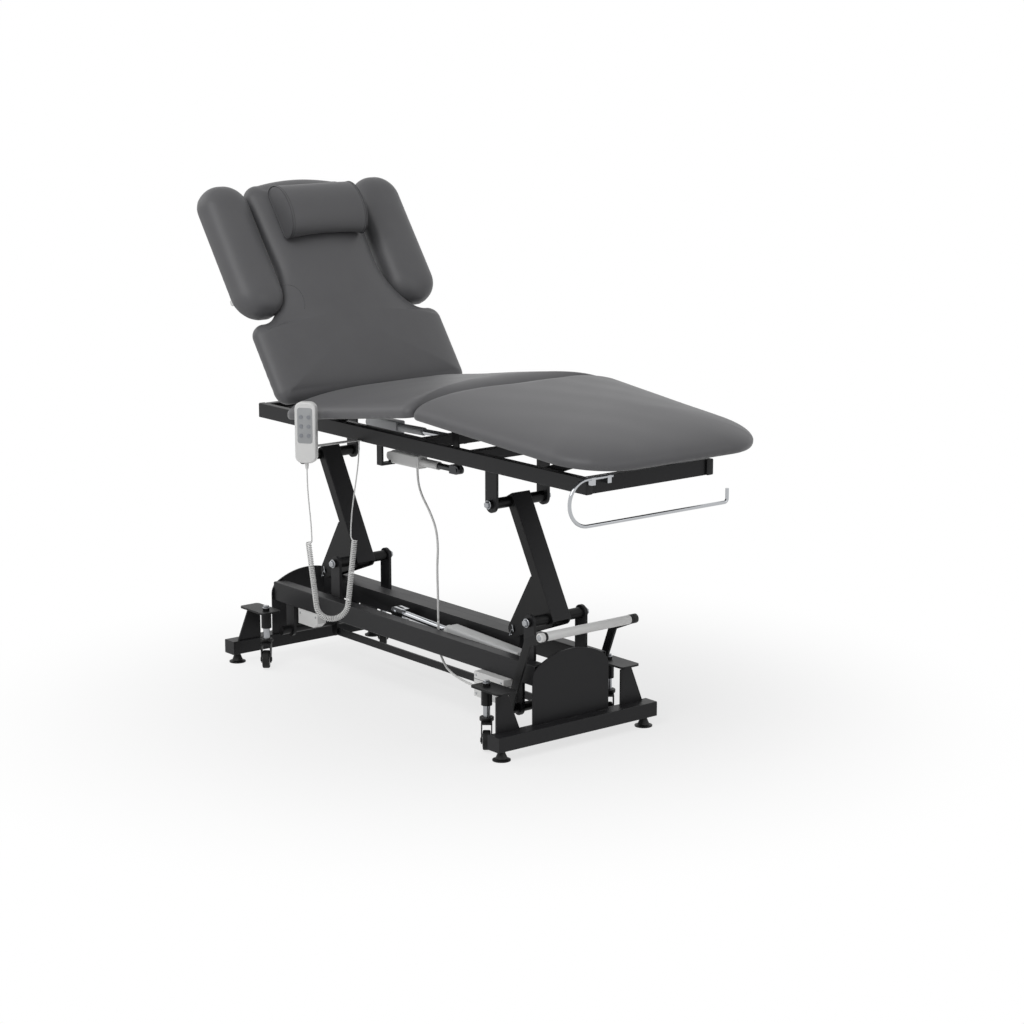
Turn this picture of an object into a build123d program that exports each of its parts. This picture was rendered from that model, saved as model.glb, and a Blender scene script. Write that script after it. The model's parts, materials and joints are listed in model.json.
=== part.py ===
"""Electric massage table: a lifting base, a rail frame and three cushioned sections.

Millimetres. +X points to the foot end, -Y to the side with the handset, +Z up. The shapes are worked out
about the middle of the base and moved to the frame's origin, on the floor under the middle of the object.
"""
from build123d import *
import os
from math import atan2, cos, degrees, hypot, pi, radians, sin, tan

os.makedirs("parts", exist_ok=True)

# Place of the base's middle along X in the finished frame, and clearances that every piece shares
BASE_MIDDLE_X = -176.8
RUNNING_FIT = 0.05
SIDE_GAP = 0.3
OPEN_FIT = 0.4
OVERRUN = 20.0
EDGE = 2.0

# The spacing of the lift's legs drives the base: its end plates stand beyond them
LEG_SPACING = 836.0
PLATE_PAST_FRONT_LEG = 59.0
PLATE_PAST_REAR_LEG = 261.0
PLATE_X = (LEG_SPACING + PLATE_PAST_FRONT_LEG + PLATE_PAST_REAR_LEG) / 2

# Cross beams and levelling feet
FEET_PAST_PLATE = 14.0
FEET_X = PLATE_X + FEET_PAST_PLATE
FEET_Y = 234.0
CROSS_BEAM_WIDE = 45.0
CROSS_BEAM_TALL = 38.0
CROSS_BEAM_LONG = 520.0
FOOT_HEIGHT = 27.0
FOOT_PAD_R = 23.0
FOOT_PAD_THICK = 6.0
FOOT_WAIST_SHARE = 2 / 3
FOOT_NECK_R = 9.0
FOOT_STEM_R = 5.0
FOOT_STEM_LONG = 22.0

# Long beams, end plates and the tube that carries the lift drive
LONG_BEAM_INNER_Y = 80.0
LONG_BEAM_WIDE = 38.0
LONG_BEAM_TALL = 53.0
LONG_BEAM_BOTTOM = 163.0
PLATE_THICK = 4.0
PLATE_HALF_WIDE = 124.0
PLATE_SHOULDER_Z = 202.0
PLATE_TOP_Z = 243.0
PLATE_CORNER_R = 40.0
DRIVE_TUBE_TO_PLATE = 58.0
DRIVE_TUBE_X = PLATE_X - DRIVE_TUBE_TO_PLATE
DRIVE_TUBE_SIDE = 26.0
DRIVE_TUBE_Z = 178.0

# Legs of the lift
LEG_FRONT_X = PLATE_X - PLATE_PAST_FRONT_LEG
LEG_LONG = 315.3
LEG_LEAN = 28.8
LEG_PIVOT_Z = 311.0
LEG_TUBE_DEEP = 30.0
KINK_SHARE = 1 / 3
LEG_TUBE_WIDE = 60.0
LEG_TUBE_WALL = 3.0
LEG_TUBE_FORWARD = 8.0
LEG_SHAFT_R = 14.0
LEG_PIN_R = 8.0
LEG_NUT_R = 11.0
LEG_NUT_THICK = 8.0
UPRIGHT_WIDE = 40.0
UPRIGHT_THICK = 8.0
GUSSET_THICK = 6.0
GUSSET_EYE_R = 19.0
GUSSET_FOOT_R = 22.0
GUSSET_RISE = 96.0
TIE_PIN_X = -134.0
TIE_PIN_Z = -54.0
TIE_PIN_R = 7.0
TIE_HALF_WIDE = 21.0
TIE_EYE_R = 16.0
TIE_TOP_DROP = 16.0
TIE_TALL = 48.0

# Castors
CASTOR_TO_PLATE = 86.0
CASTOR_X = PLATE_X - CASTOR_TO_PLATE
CASTOR_Y = 201.0
BRACKET_TO_PLATE = 3.0
BRACKET_X = PLATE_X - BRACKET_TO_PLATE
BRACKET_THICK = 5.0
BRACKET_INNER_Y = 166.0
BRACKET_TOP_Y = 202.0
BRACKET_FOOT_Y = 240.0
CASTOR_PLATE_Z = 163.0
CASTOR_PLATE_WIDE = 62.0
PLATE_ROUND_SHARE = 1 / 6
CASTOR_PLATE_REACH = 30.0
SLEEVE_R = 14.0
SLEEVE_COLLAR_SHARE = 2 / 3
SLEEVE_LONG = 45.0
STEM_R = 9.0
STEM_BOTTOM = 74.0
COLLAR_R = 17.0
COLLAR_THICK = 8.0
KINGPIN_R = 5.0
CASTOR_TURN = 39.0
WHEEL_R = 25.0
WHEEL_WIDE = 20.0
WHEEL_ROUND_SHARE = 1 / 5
WHEEL_CLEARANCE = 3.0
WHEEL_AXLE_R = 4.0
FORK_THICK = 3.0
FORK_WIDE = 30.0
FORK_GAP = 1.0
FORK_TRAIL = 20.0
FORK_CHEEK_SHARE = 1 / 3
FORK_LEAD_SHARE = 1 / 4

# Pedal, link bar and rear crank
PEDAL_SHAFT_TO_PLATE = 73.0
PEDAL_SHAFT_X = PLATE_X - PEDAL_SHAFT_TO_PLATE
PEDAL_SHAFT_Z = 92.0
PEDAL_SHAFT_R = 12.0
PEDAL_BAR_PAST_PLATE = 65.0
PEDAL_BAR_X = PLATE_X + PEDAL_BAR_PAST_PLATE
PEDAL_BAR_Z = 308.0
PEDAL_BAR_R = 11.0
PEDAL_BAR_LONG = 312.0
PEDAL_ELBOW_PAST_PLATE = 2.0
PEDAL_ELBOW_X = PLATE_X + PEDAL_ELBOW_PAST_PLATE
PEDAL_ELBOW_Z = 281.0
PEDAL_ARM_Y = 140.0
PEDAL_ARM_THICK = 6.0
PEDAL_ARM_WIDE = 24.0
CRANK_LONG = 32.0
CRANK_Y = 38.0
CRANK_THICK = 6.0
CRANK_R = 12.0
CRANK_PIN_R = 5.0
LINK_TALL = 20.0
LINK_THICK = 6.0
SHAFT_LUG_R = 19.0
SHAFT_LUG_THICK = 8.0
SHAFT_LUG_Y = 108.0

# Lift drive beside the tie bar
DRIVE_Y = -56.0
DRIVE_HALF_WIDE = 20.0
DRIVE_EYE_X = -74.0
DRIVE_EYE_Z = 219.0
DRIVE_REAR_TO_PLATE = 100.0
DRIVE_REAR_X = PLATE_X - DRIVE_REAR_TO_PLATE
DRIVE_REAR_Z = 196.0
DRIVE_HOUSING_LONG = 290.0
DRIVE_HOUSING_TALL = 42.0
DRIVE_ROUND_SHARE = 1 / 3
DRIVE_TUBE_R = 16.0
DRIVE_TUBE_PROUD = 40.0
DRIVE_TUBE_LONG = DRIVE_HOUSING_LONG + DRIVE_TUBE_PROUD
DRIVE_ROD_R = 10.0
DRIVE_ROD_INSIDE = 60.0
DRIVE_DRAW_IN = 80.0
DRIVE_PIN_R = 6.0
DRIVE_LUG_THICK = 8.0
DRIVE_EYE_R = 14.0

# Boxes on the base
BOX_LONG = 120.0
BOX_DEEP = 46.0
BOX_TALL = 66.0
BOX_TO_PLATE = 94.0
BOX_FRONT_X = PLATE_X - BOX_TO_PLATE
BOX_TOP_DROP = 8.0
INLET_WIDE = 24.0
INLET_SET_SHARE = 1 / 4
INLET_TALL = 18.0
INLET_RISE = 36.0
INLET_DEEP = 12.0
JUNCTION_LONG = 92.0
JUNCTION_TALL = 42.0
JUNCTION_STEP_SHARE = 2 / 3
JUNCTION_CUT_SHARE = 1 / 5
JUNCTION_DEEP = 28.0
JUNCTION_TO_PLATE = 123.0
JUNCTION_X = JUNCTION_TO_PLATE - PLATE_X

# Rail frame
RAIL_OUTER_Y = 203.0
RAIL_WIDE = 20.0
RAIL_TALL = 39.0
RAIL_TOP_Z = 744.0
RAIL_WALL = 2.0
RAIL_HEAD_TO_PLATE = 76.0
RAIL_HEAD_X = RAIL_HEAD_TO_PLATE - PLATE_X
RAIL_FOOT_PAST_PLATE = 288.0
RAIL_FOOT_X = PLATE_X + RAIL_FOOT_PAST_PLATE
CAP_RECESS = 3.0
MID_TUBE_WIDE = 30.0
MID_TUBE_TALL = 26.0
BACK_DRIVE_TUBE_X = 150.0
HANGER_WIDE = 44.0

# Bar for a paper roll
ROLL_PAST_RAIL = 14.0
ROLL_X = RAIL_FOOT_X + ROLL_PAST_RAIL
ROLL_BAR_R = 4.5
ROLL_TOP_Z = 746.0
ROLL_START_Y = -132.0
ROLL_BEND_Y = -207.0
ROLL_BEND_R = 56.0
ROLL_FAR_Y = 240.0
ROLL_TIP_RISE = 34.0
ROLL_TIP_BEND_R = 9.0
ROLL_CLIP_WIDE = 12.0
ROLL_CLIP_TALL = 16.0

# Sections: hip, knee and the cushions laid flat
HIP_X = -205.0
HIP_Z = 738.0
BACK_PIVOT_X = -228.0
BACK_PIVOT_Z = 768.0
BOARD_Z = 752.0
KNEE_FLAT_X = 363.0
KNEE_FLAT_Z = 742.0
SEAT_TILT = 8.1
LEG_SLOPE = 4.9
BACK_TILT = 54.5
CUSHION_TALL = 68.0
CUSHION_HALF_WIDE = 335.0
CUSHION_ROLL = 165.0
HIP_CORNER_R = 60.0
KNEE_CORNER_R = 25.0
FOOT_CORNER_R = 130.0
SEAT_LONG = 568.0
LEG_CUSHION_LONG = 633.0
KNEE_CUSHION_GAP = 5.0
BACK_TALL = 66.0
BACK_ROLL = 76.0
BACK_HALF_WIDE = 308.0
BACK_EDGE_FROM_PIVOT = 22.0
BACK_CORNER_R = 34.0
SHOULDER_ALONG = 258.0
SHOULDER_CORNER_R = 36.0
SHOULDER_INNER_ALONG = 276.0
SHOULDER_INNER_Y = 226.0
NECK_ALONG = 430.0
NECK_HALF_WIDE = 158.0
HEAD_ALONG = 634.0
HEAD_HALF_WIDE = 166.0
CROWN_ALONG = 677.0
CROWN_HALF_WIDE = 122.0
CROWN_BULGE = 12.0

# A cushion's section: its rise as a share of its height, and how far it is drawn in as a share of its roll
SECTION_SHARES = ((0.0, 0.06), (0.09, 0.015), (0.18, 0.0), (0.38, 0.02), (0.59, 0.13), (0.75, 0.33),
                  (0.86, 0.57), (0.94, 0.8), (1.0, 1.0))
CORNER_DRAWN_SHARE = 0.6

# Section frames: their rails, and the ears at hip and knee
BACK_FRAME_LONG = 634.0
SECTION_FRAME_WIDE = 26.0
SECTION_FRAME_TALL = 7.0
SECTION_RAIL_Y = 128.0
HIP_SHAFT_R = 5.0
HIP_STUB_Y = 150.0
HIP_EAR_R = 12.0
KNEE_SHAFT_R = 6.0
EAR_THICK = 6.0

# Arm pads, knobs and pillow
PAD_Y = 256.0
PAD_HALF_WIDE = 68.0
PAD_LONG = 396.0
PAD_BOTTOM_ALONG = 280.0
PAD_TALL = 62.0
PAD_ROLL = 42.0
PAD_END_SHARE = 0.96
PAD_BAR_R = 8.0
PAD_BAR_ALONG = 350.0
PAD_BAR_INNER_Y = 60.0
PAD_SOCKET_SIDE = 26.0
PAD_SOCKET_Y = 186.0
KNOB_R = 9.0
KNOB_INSET = 13.0
KNOB_LONG = 26.0
KNOB_PIN_R = 4.0
KNOB_PIN_LONG = 14.0
PILLOW_LONG = 248.0
PILLOW_WIDE = 150.0
PILLOW_TALL = 64.0
PILLOW_LIP_SHARE = 1 / 3
PILLOW_ALONG = 560.0

# Swing links under the leg section
LINK_PIVOT_X = 631.5
LINK_PIVOT_Z = 711.0
SWING_PIN_FLAT_X = 792.0
SWING_PIN_FLAT_Z = 723.0
SWING_PIN_R = 4.0
SWING_PIN_PLAY = 2.5
SWING_THICK = 6.0
SWING_WIDE = 12.0
SWING_Y = 158.0

# Back drive and knee drive
BACK_LEVER = 75.0
BACK_LEVER_TURN = 25.0
BACK_DRIVE_Y = 0.0
BACK_DRIVE_REAR_X = 120.0
BACK_DRIVE_REAR_Z = 712.0
KNEE_DRIVE_Y = -88.0
KNEE_DRIVE_FOOT_X = -50.0
KNEE_DRIVE_FOOT_Z = 652.0
KNEE_EYE_FLAT_X = 220.0
KNEE_EYE_FLAT_Z = 594.0
MOTOR_HALF_WIDE = 15.0
MOTOR_TALL = 34.0
MOTOR_LONG = 118.0
MOTOR_TUBE_R = 11.0
MOTOR_ROD_R = 8.0
MOTOR_PIN_R = 5.0
MOTOR_EYE_R = 11.0
MOTOR_LUG_DROP_SHARE = 3 / 2
MOTOR_LUG_THICK = 6.0

# Handset and its cord
HANDSET_X = -36.0
HANDSET_Y = -368.0
HANDSET_BOTTOM_Z = 668.0
HANDSET_TALL = 158.0
HANDSET_WIDE = 56.0
HANDSET_THICK = 24.0
HANDSET_CORNER_SHARE = 1 / 3
HANDSET_EDGE_SHARE = 1 / 6
HANDSET_TURN = 38.0
BUTTON_R = 5.0
BUTTON_RISE = 2.0
BUTTON_SINK = 3.0
BUTTON_PITCH_X = 20.0
BUTTON_PITCH_Z = 24.0
BUTTON_TOP_DROP = 38.0
RELIEF_R = 5.5
RELIEF_TIP_SHARE = 2 / 3
RELIEF_LONG = 16.0
CORD_R = 1.7
COIL_R = 6.05
COIL_CURLS = 96
CURL_STEP_SHARE = 1 / 256
CORD_SWEEPS = 3
SAMPLES_A_CURL = 24
COIL_SIDES = 6
CABLE_R = 3.0
CABLE_END_GAP = 0.1
CABLE_FROM_X = 62.0
CABLE_POINTS = (
    (62.0, -88.0, 602.0), (84.0, -92.0, 566.0), (122.0, -95.0, 532.0), (150.0, -95.0, 490.0),
    (155.0, -93.0, 440.0), (144.0, -88.0, 392.0), (137.0, -82.0, 344.0), (131.0, -76.0, 296.0),
    (128.0, -73.2, 262.0),
)
CABLE_CLIP = (128.0, -73.2, 236.0)
BOX_CABLE_POINTS = (
    (128.0, -73.2, 196.0), (134.0, -75.0, 154.0), (166.0, -82.0, 126.0), (208.0, -94.0, 116.0),
    (262.0, -105.0, 112.0), (314.0, -111.0, 110.0),
)
CABLE_END = (-111.0, 110.0)
COIL_FROM_X = -69.0
COIL_FROM_Y = -345.0
COIL_TO_X = -16.0
COIL_TO_Y = -236.0
COIL_TOP_Z = 450.0
COIL_DROP = 208.0
COIL_BEND_R = 42.0
LEAD_TURN = 26.0
LEAD_END_X = -50.0
BUTTON_FIT = 0.1
HANGER_STRIP = 20.0
MOTOR_ROD_INSIDE = 30.0
BACK_TUBE_LONG = 240.0
BACK_DRAW_IN = 72.0
KNEE_TUBE_LONG = 205.0
KNEE_DRAW_IN = 16.0


def export(node, *solids):
    """Writes the solids of one node, moved to the finished frame."""
    moved = [Pos(BASE_MIDDLE_X, 0, 0) * one for shape in solids for one in shape.solids()]
    whole = moved[0] if len(moved) == 1 else Compound(children=moved)
    whole.label = node
    export_step(whole, f"parts/{node}.step")


def block(x0, x1, y0, y1, z0, z1, edge=0.0):
    """A box between two corners, with its edges rounded."""
    solid = Pos((x0 + x1) / 2, (y0 + y1) / 2, (z0 + z1) / 2) * Box(x1 - x0, y1 - y0, z1 - z0)
    if edge:
        solid = fillet(solid.edges(), edge)
    return solid


def tube_x(x0, x1, y0, y1, z0, z1, wall):
    """A rectangular tube along X with rounded corners."""
    outer = block(x0, x1, y0, y1, z0, z1)
    outer = fillet(outer.edges().filter_by(Axis.X), wall)
    bore = block(x0 - OVERRUN, x1 + OVERRUN, y0 + wall, y1 - wall, z0 + wall, z1 - wall)
    return outer - bore


def cylinder_y(x, z, r, y0, y1):
    """A round bar along Y."""
    return Pos(x, (y0 + y1) / 2, z) * Rot(90, 0, 0) * Cylinder(r, abs(y1 - y0))


def cylinder_z(x, y, r, z0, z1):
    """A round bar along Z."""
    return Pos(x, y, (z0 + z1) / 2) * Cylinder(r, z1 - z0)


def slab(face, y0, y1):
    """A face drawn in X and Z, thickened from y0 to y1."""
    plane = Plane(origin=(0, y1, 0), x_dir=(1, 0, 0), z_dir=(0, -1, 0))
    return extrude(plane * face, y1 - y0)


def disc(x, z, r):
    """A round face in X and Z."""
    return Pos(x, z) * Circle(r)


def strap(x0, z0, x1, z1, half):
    """A strap with round ends between two centres, in X and Z."""
    long = hypot(x1 - x0, z1 - z0)
    turn = degrees(atan2(z1 - z0, x1 - x0))
    place = Pos((x0 + x1) / 2, (z0 + z1) / 2) * Rot(0, 0, turn)
    return place * SlotCenterToCenter(long, 2 * half)


def turned(x, z, angle, about_x, about_z):
    """A point turned in the XZ plane; a positive angle lifts the foot end."""
    a = radians(angle)
    dx = x - about_x
    dz = z - about_z
    return about_x + dx * cos(a) - dz * sin(a), about_z + dx * sin(a) + dz * cos(a)


def turn_about(shape, angle, about_x, about_z):
    """A shape turned in the XZ plane; a positive angle lifts the foot end."""
    return shape.rotate(Axis((about_x, 0, about_z), (0, -1, 0)), angle)


# Base: cross beams, long beams and the drive's tube
beam_bottom = FOOT_HEIGHT
beam_top = FOOT_HEIGHT + CROSS_BEAM_TALL
long_beam_top = LONG_BEAM_BOTTOM + LONG_BEAM_TALL
long_beam_outer_y = LONG_BEAM_INNER_Y + LONG_BEAM_WIDE
half_beam = CROSS_BEAM_LONG / 2
cross_beams = []
for end in (1, -1):
    x = end * FEET_X
    beam = block(x - CROSS_BEAM_WIDE / 2, x + CROSS_BEAM_WIDE / 2, -half_beam, half_beam, beam_bottom, beam_top)
    beam = fillet(beam.edges().filter_by(Axis.Y), EDGE)
    for side in (1, -1):
        beam -= cylinder_z(x, side * FEET_Y, FOOT_STEM_R + RUNNING_FIT, beam_bottom - OVERRUN,
                           beam_bottom + FOOT_STEM_LONG)
    cross_beams.append(beam)
drive_tube = block(DRIVE_TUBE_X - DRIVE_TUBE_SIDE / 2, DRIVE_TUBE_X + DRIVE_TUBE_SIDE / 2,
                   -LONG_BEAM_INNER_Y, LONG_BEAM_INNER_Y,
                   DRIVE_TUBE_Z - DRIVE_TUBE_SIDE / 2, DRIVE_TUBE_Z + DRIVE_TUBE_SIDE / 2)
drive_ear = slab(strap(DRIVE_REAR_X, DRIVE_REAR_Z, DRIVE_TUBE_X, DRIVE_TUBE_Z, DRIVE_EYE_R),
                 DRIVE_Y - DRIVE_LUG_THICK / 2, DRIVE_Y + DRIVE_LUG_THICK / 2)
drive_ear -= cylinder_y(DRIVE_REAR_X, DRIVE_REAR_Z, DRIVE_PIN_R + RUNNING_FIT,
                        DRIVE_Y - OVERRUN, DRIVE_Y + OVERRUN)
drive_tube += drive_ear
export("cross_beams", *cross_beams, drive_tube)

inner_plate_x = PLATE_X - PLATE_THICK / 2
long_beams = []
for side in (1, -1):
    y0, y1 = sorted((side * LONG_BEAM_INNER_Y, side * long_beam_outer_y))
    beam = tube_x(-inner_plate_x, inner_plate_x, y0, y1, LONG_BEAM_BOTTOM, long_beam_top, LEG_TUBE_WALL)
    for end in (1, -1):
        lug_x = end * PEDAL_SHAFT_X
        lug_y = side * (SHAFT_LUG_Y - SHAFT_LUG_THICK / 2), side * (SHAFT_LUG_Y + SHAFT_LUG_THICK / 2)
        lug = Pos(lug_x, (LONG_BEAM_BOTTOM + PEDAL_SHAFT_Z) / 2) * Rectangle(2 * SHAFT_LUG_R,
                                                                          LONG_BEAM_BOTTOM - PEDAL_SHAFT_Z)
        lug = slab(lug + disc(lug_x, PEDAL_SHAFT_Z, SHAFT_LUG_R), min(lug_y), max(lug_y))
        beam += lug - cylinder_y(lug_x, PEDAL_SHAFT_Z, PEDAL_SHAFT_R + RUNNING_FIT,
                                 min(lug_y) - OVERRUN, max(lug_y) + OVERRUN)
    long_beams.append(beam)
export("long_beams", *long_beams)


def arch_face():
    """The arched outline of an end plate, drawn in Y and Z."""
    left = (-PLATE_HALF_WIDE, beam_top)
    right = (PLATE_HALF_WIDE, beam_top)
    left_up = (-PLATE_HALF_WIDE, PLATE_SHOULDER_Z)
    right_up = (PLATE_HALF_WIDE, PLATE_SHOULDER_Z)
    outline = Line(left, right) + Line(right, right_up) + Line(left, left_up)
    outline += ThreePointArc(left_up, (0, PLATE_TOP_Z), right_up)
    face = make_face(outline)
    corners = face.vertices().group_by(Axis.Y)[-1]
    return fillet(corners, PLATE_CORNER_R)


plate_plane = Plane(origin=(PLATE_X - PLATE_THICK / 2, 0, 0), x_dir=(0, 1, 0), z_dir=(1, 0, 0))
front_plate = extrude(plate_plane * arch_face(), PLATE_THICK)
rear_plane = Plane(origin=(-PLATE_X - PLATE_THICK / 2, 0, 0), x_dir=(0, 1, 0), z_dir=(1, 0, 0))
rear_plate = extrude(rear_plane * arch_face(), PLATE_THICK)
export("end_plates", front_plate, rear_plate)

# Uprights with the eyes of the leg shafts
uprights = []
upright_outer_y = LONG_BEAM_INNER_Y + UPRIGHT_THICK
for x in (LEG_FRONT_X, LEG_FRONT_X - LEG_SPACING):
    for side in (1, -1):
        face = Pos(x, (long_beam_top + LEG_PIVOT_Z) / 2) * Rectangle(UPRIGHT_WIDE, LEG_PIVOT_Z - long_beam_top)
        face += disc(x, LEG_PIVOT_Z, UPRIGHT_WIDE / 2)
        face -= disc(x, LEG_PIVOT_Z, LEG_PIN_R + RUNNING_FIT)
        y0, y1 = sorted((side * LONG_BEAM_INNER_Y, side * upright_outer_y))
        uprights.append(slab(face, y0, y1))
export("leg_uprights", *uprights)


def leg(bottom_x):
    """A leg: tube, two gussets, a shaft at each end and the pin of the tie bar."""
    top_x = bottom_x - LEG_LONG * sin(radians(LEG_LEAN))
    top_z = LEG_PIVOT_Z + LEG_LONG * cos(radians(LEG_LEAN))
    tube_long = LEG_LONG + LEG_TUBE_DEEP
    upright = block(-LEG_TUBE_DEEP / 2, LEG_TUBE_DEEP / 2, -LEG_TUBE_WIDE / 2, LEG_TUBE_WIDE / 2,
                    -LEG_TUBE_DEEP / 2, tube_long - LEG_TUBE_DEEP / 2)
    upright = fillet(upright.edges().filter_by(Axis.Z), LEG_TUBE_WALL)
    upright -= block(-LEG_TUBE_DEEP / 2 + LEG_TUBE_WALL, LEG_TUBE_DEEP / 2 - LEG_TUBE_WALL,
                     -LEG_TUBE_WIDE / 2 + LEG_TUBE_WALL, LEG_TUBE_WIDE / 2 - LEG_TUBE_WALL,
                     -OVERRUN, tube_long + OVERRUN)
    upright = Pos(LEG_TUBE_FORWARD, 0, 0) * upright
    solid = Pos(bottom_x, 0, LEG_PIVOT_Z) * Rot(0, -LEG_LEAN, 0) * upright
    shaft_half = LONG_BEAM_INNER_Y - SIDE_GAP
    nut_inner = upright_outer_y + SIDE_GAP
    nut_outer = nut_inner + LEG_NUT_THICK
    for x, z in ((bottom_x, LEG_PIVOT_Z), (top_x, top_z)):
        solid += cylinder_y(x, z, LEG_SHAFT_R, -shaft_half, shaft_half)
        solid += cylinder_y(x, z, LEG_PIN_R, -nut_outer, nut_outer)
        for side in (1, -1):
            solid += cylinder_y(x, z, LEG_NUT_R, side * nut_inner, side * nut_outer)
    eye_x = bottom_x + TIE_PIN_X
    eye_z = LEG_PIVOT_Z + TIE_PIN_Z
    kink_x = bottom_x - GUSSET_RISE * tan(radians(LEG_LEAN)) - LEG_TUBE_DEEP * KINK_SHARE
    kink_z = LEG_PIVOT_Z + GUSSET_RISE
    hull = make_hull([*disc(eye_x, eye_z, GUSSET_EYE_R).edges(),
                      *disc(bottom_x, LEG_PIVOT_Z, GUSSET_FOOT_R).edges(),
                      *disc(kink_x, kink_z, EDGE).edges()])
    for side in (1, -1):
        y0, y1 = sorted((side * (LEG_TUBE_WIDE / 2 - GUSSET_THICK), side * LEG_TUBE_WIDE / 2))
        solid += slab(hull, y0, y1)
    solid += cylinder_y(eye_x, eye_z, TIE_PIN_R, -LEG_TUBE_WIDE / 2 - EDGE, LEG_TUBE_WIDE / 2 + EDGE)
    return solid


export("front_leg", leg(LEG_FRONT_X))
export("rear_leg", leg(LEG_FRONT_X - LEG_SPACING))

# Tie bar between the gussets, with the lug that the lift drive pushes
tie_front_x = LEG_FRONT_X + TIE_PIN_X
tie_rear_x = tie_front_x - LEG_SPACING
tie_z = LEG_PIVOT_Z + TIE_PIN_Z
tie_top = tie_z - TIE_TOP_DROP
tie_bottom = tie_top - TIE_TALL
tie_face = Pos((tie_front_x + tie_rear_x) / 2, (tie_top + tie_bottom) / 2) * Rectangle(
    LEG_SPACING + 2 * TIE_EYE_R, TIE_TALL)
for x in (tie_front_x, tie_rear_x):
    tie_face += disc(x, tie_z, TIE_EYE_R)
    tie_face += Pos(x, (tie_z + tie_top) / 2) * Rectangle(2 * TIE_EYE_R, tie_z - tie_top)
tie_face -= disc(tie_front_x, tie_z, TIE_PIN_R + RUNNING_FIT)
tie_face -= disc(tie_rear_x, tie_z, TIE_PIN_R + RUNNING_FIT)
tie_bar = slab(tie_face, -TIE_HALF_WIDE, TIE_HALF_WIDE)
lug_inner = DRIVE_Y + DRIVE_LUG_THICK / 2
tie_bar += block(DRIVE_EYE_X - DRIVE_EYE_R, DRIVE_EYE_X + DRIVE_EYE_R, lug_inner, -TIE_HALF_WIDE,
                 tie_bottom, tie_bottom + DRIVE_LUG_THICK)
lug_face = disc(DRIVE_EYE_X, DRIVE_EYE_Z, DRIVE_EYE_R)
lug_face += Pos(DRIVE_EYE_X, (tie_bottom + DRIVE_EYE_Z) / 2) * Rectangle(2 * DRIVE_EYE_R,
                                                                         DRIVE_EYE_Z - tie_bottom)
tie_bar += slab(lug_face, DRIVE_Y - DRIVE_LUG_THICK / 2, lug_inner)
export("tie_bar", tie_bar)


def drive_frame(eye_x, eye_z, rear_x, rear_z, y):
    """The plane along a drive: its X runs from the rear pin to the rod's eye."""
    return Plane(origin=(rear_x, y, rear_z), x_dir=(eye_x - rear_x, 0, eye_z - rear_z), z_dir=(0, -1, 0))


def drive(eye_x, eye_z, rear_x, rear_z, y, sizes):
    """A linear drive: a housing with a fork at its rear, and a rod with a fork at its tip."""
    long = hypot(eye_x - rear_x, eye_z - rear_z)
    half = sizes["half_wide"]
    pin = sizes["pin_r"]
    eye = sizes["eye_r"]
    lug = sizes["lug_thick"]
    fork_inner = lug / 2 + SIDE_GAP
    body_from = sizes["body_from"]
    body_to = body_from + sizes["body_long"]
    # the drive is built along local X, with local Z up and local Y across it
    body = block(body_from, body_to, -half, half, -sizes["body_tall"] / 2, sizes["body_tall"] / 2)
    body = fillet(body.edges().filter_by(Axis.X), half * DRIVE_ROUND_SHARE)
    tube_to = sizes["tube_to"]
    body += Pos((body_to + tube_to) / 2, 0, 0) * Rot(0, 90, 0) * Cylinder(sizes["tube_r"], tube_to - body_to)
    bore = sizes["rod_r"] + RUNNING_FIT
    bore_from = long - sizes["rod_long"] - sizes["draw_in"] - EDGE
    body -= Pos((bore_from + tube_to + OVERRUN) / 2, 0, 0) * Rot(0, 90, 0) * Cylinder(
        bore, tube_to + OVERRUN - bore_from)
    fork_outer = min(half, fork_inner + lug)
    for side in (1, -1):
        y0, y1 = sorted((side * fork_inner, side * fork_outer))
        prong = slab(strap(0, 0, body_from + eye, 0, eye), y0, y1)
        body += prong - block(body_from + lug, body_from + OVERRUN + eye, y0, y1, -eye, eye)
    body += cylinder_y(0, 0, pin, -fork_outer, fork_outer)
    rod_from = long - sizes["rod_long"]
    rod_to = long - sizes["fork_back"]
    rod = Pos((rod_from + rod_to) / 2, 0, 0) * Rot(0, 90, 0) * Cylinder(sizes["rod_r"], rod_to - rod_from)
    rod += block(rod_to - lug, rod_to, -fork_outer, fork_outer, -eye, eye)
    for side in (1, -1):
        y0, y1 = sorted((side * fork_inner, side * fork_outer))
        rod += slab(strap(rod_to - lug / 2, 0, long, 0, eye), y0, y1) - block(
            rod_to - lug - eye - OVERRUN, rod_to - lug, y0, y1, -eye, eye)
        head0, head1 = sorted((side * fork_outer, side * (fork_outer + EDGE)))
        rod += cylinder_y(long, 0, pin, head0, head1)
    angle = degrees(atan2(eye_z - rear_z, eye_x - rear_x))
    place = Pos(rear_x, y, rear_z) * Rot(0, -angle, 0)
    return place * body, place * rod


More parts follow.
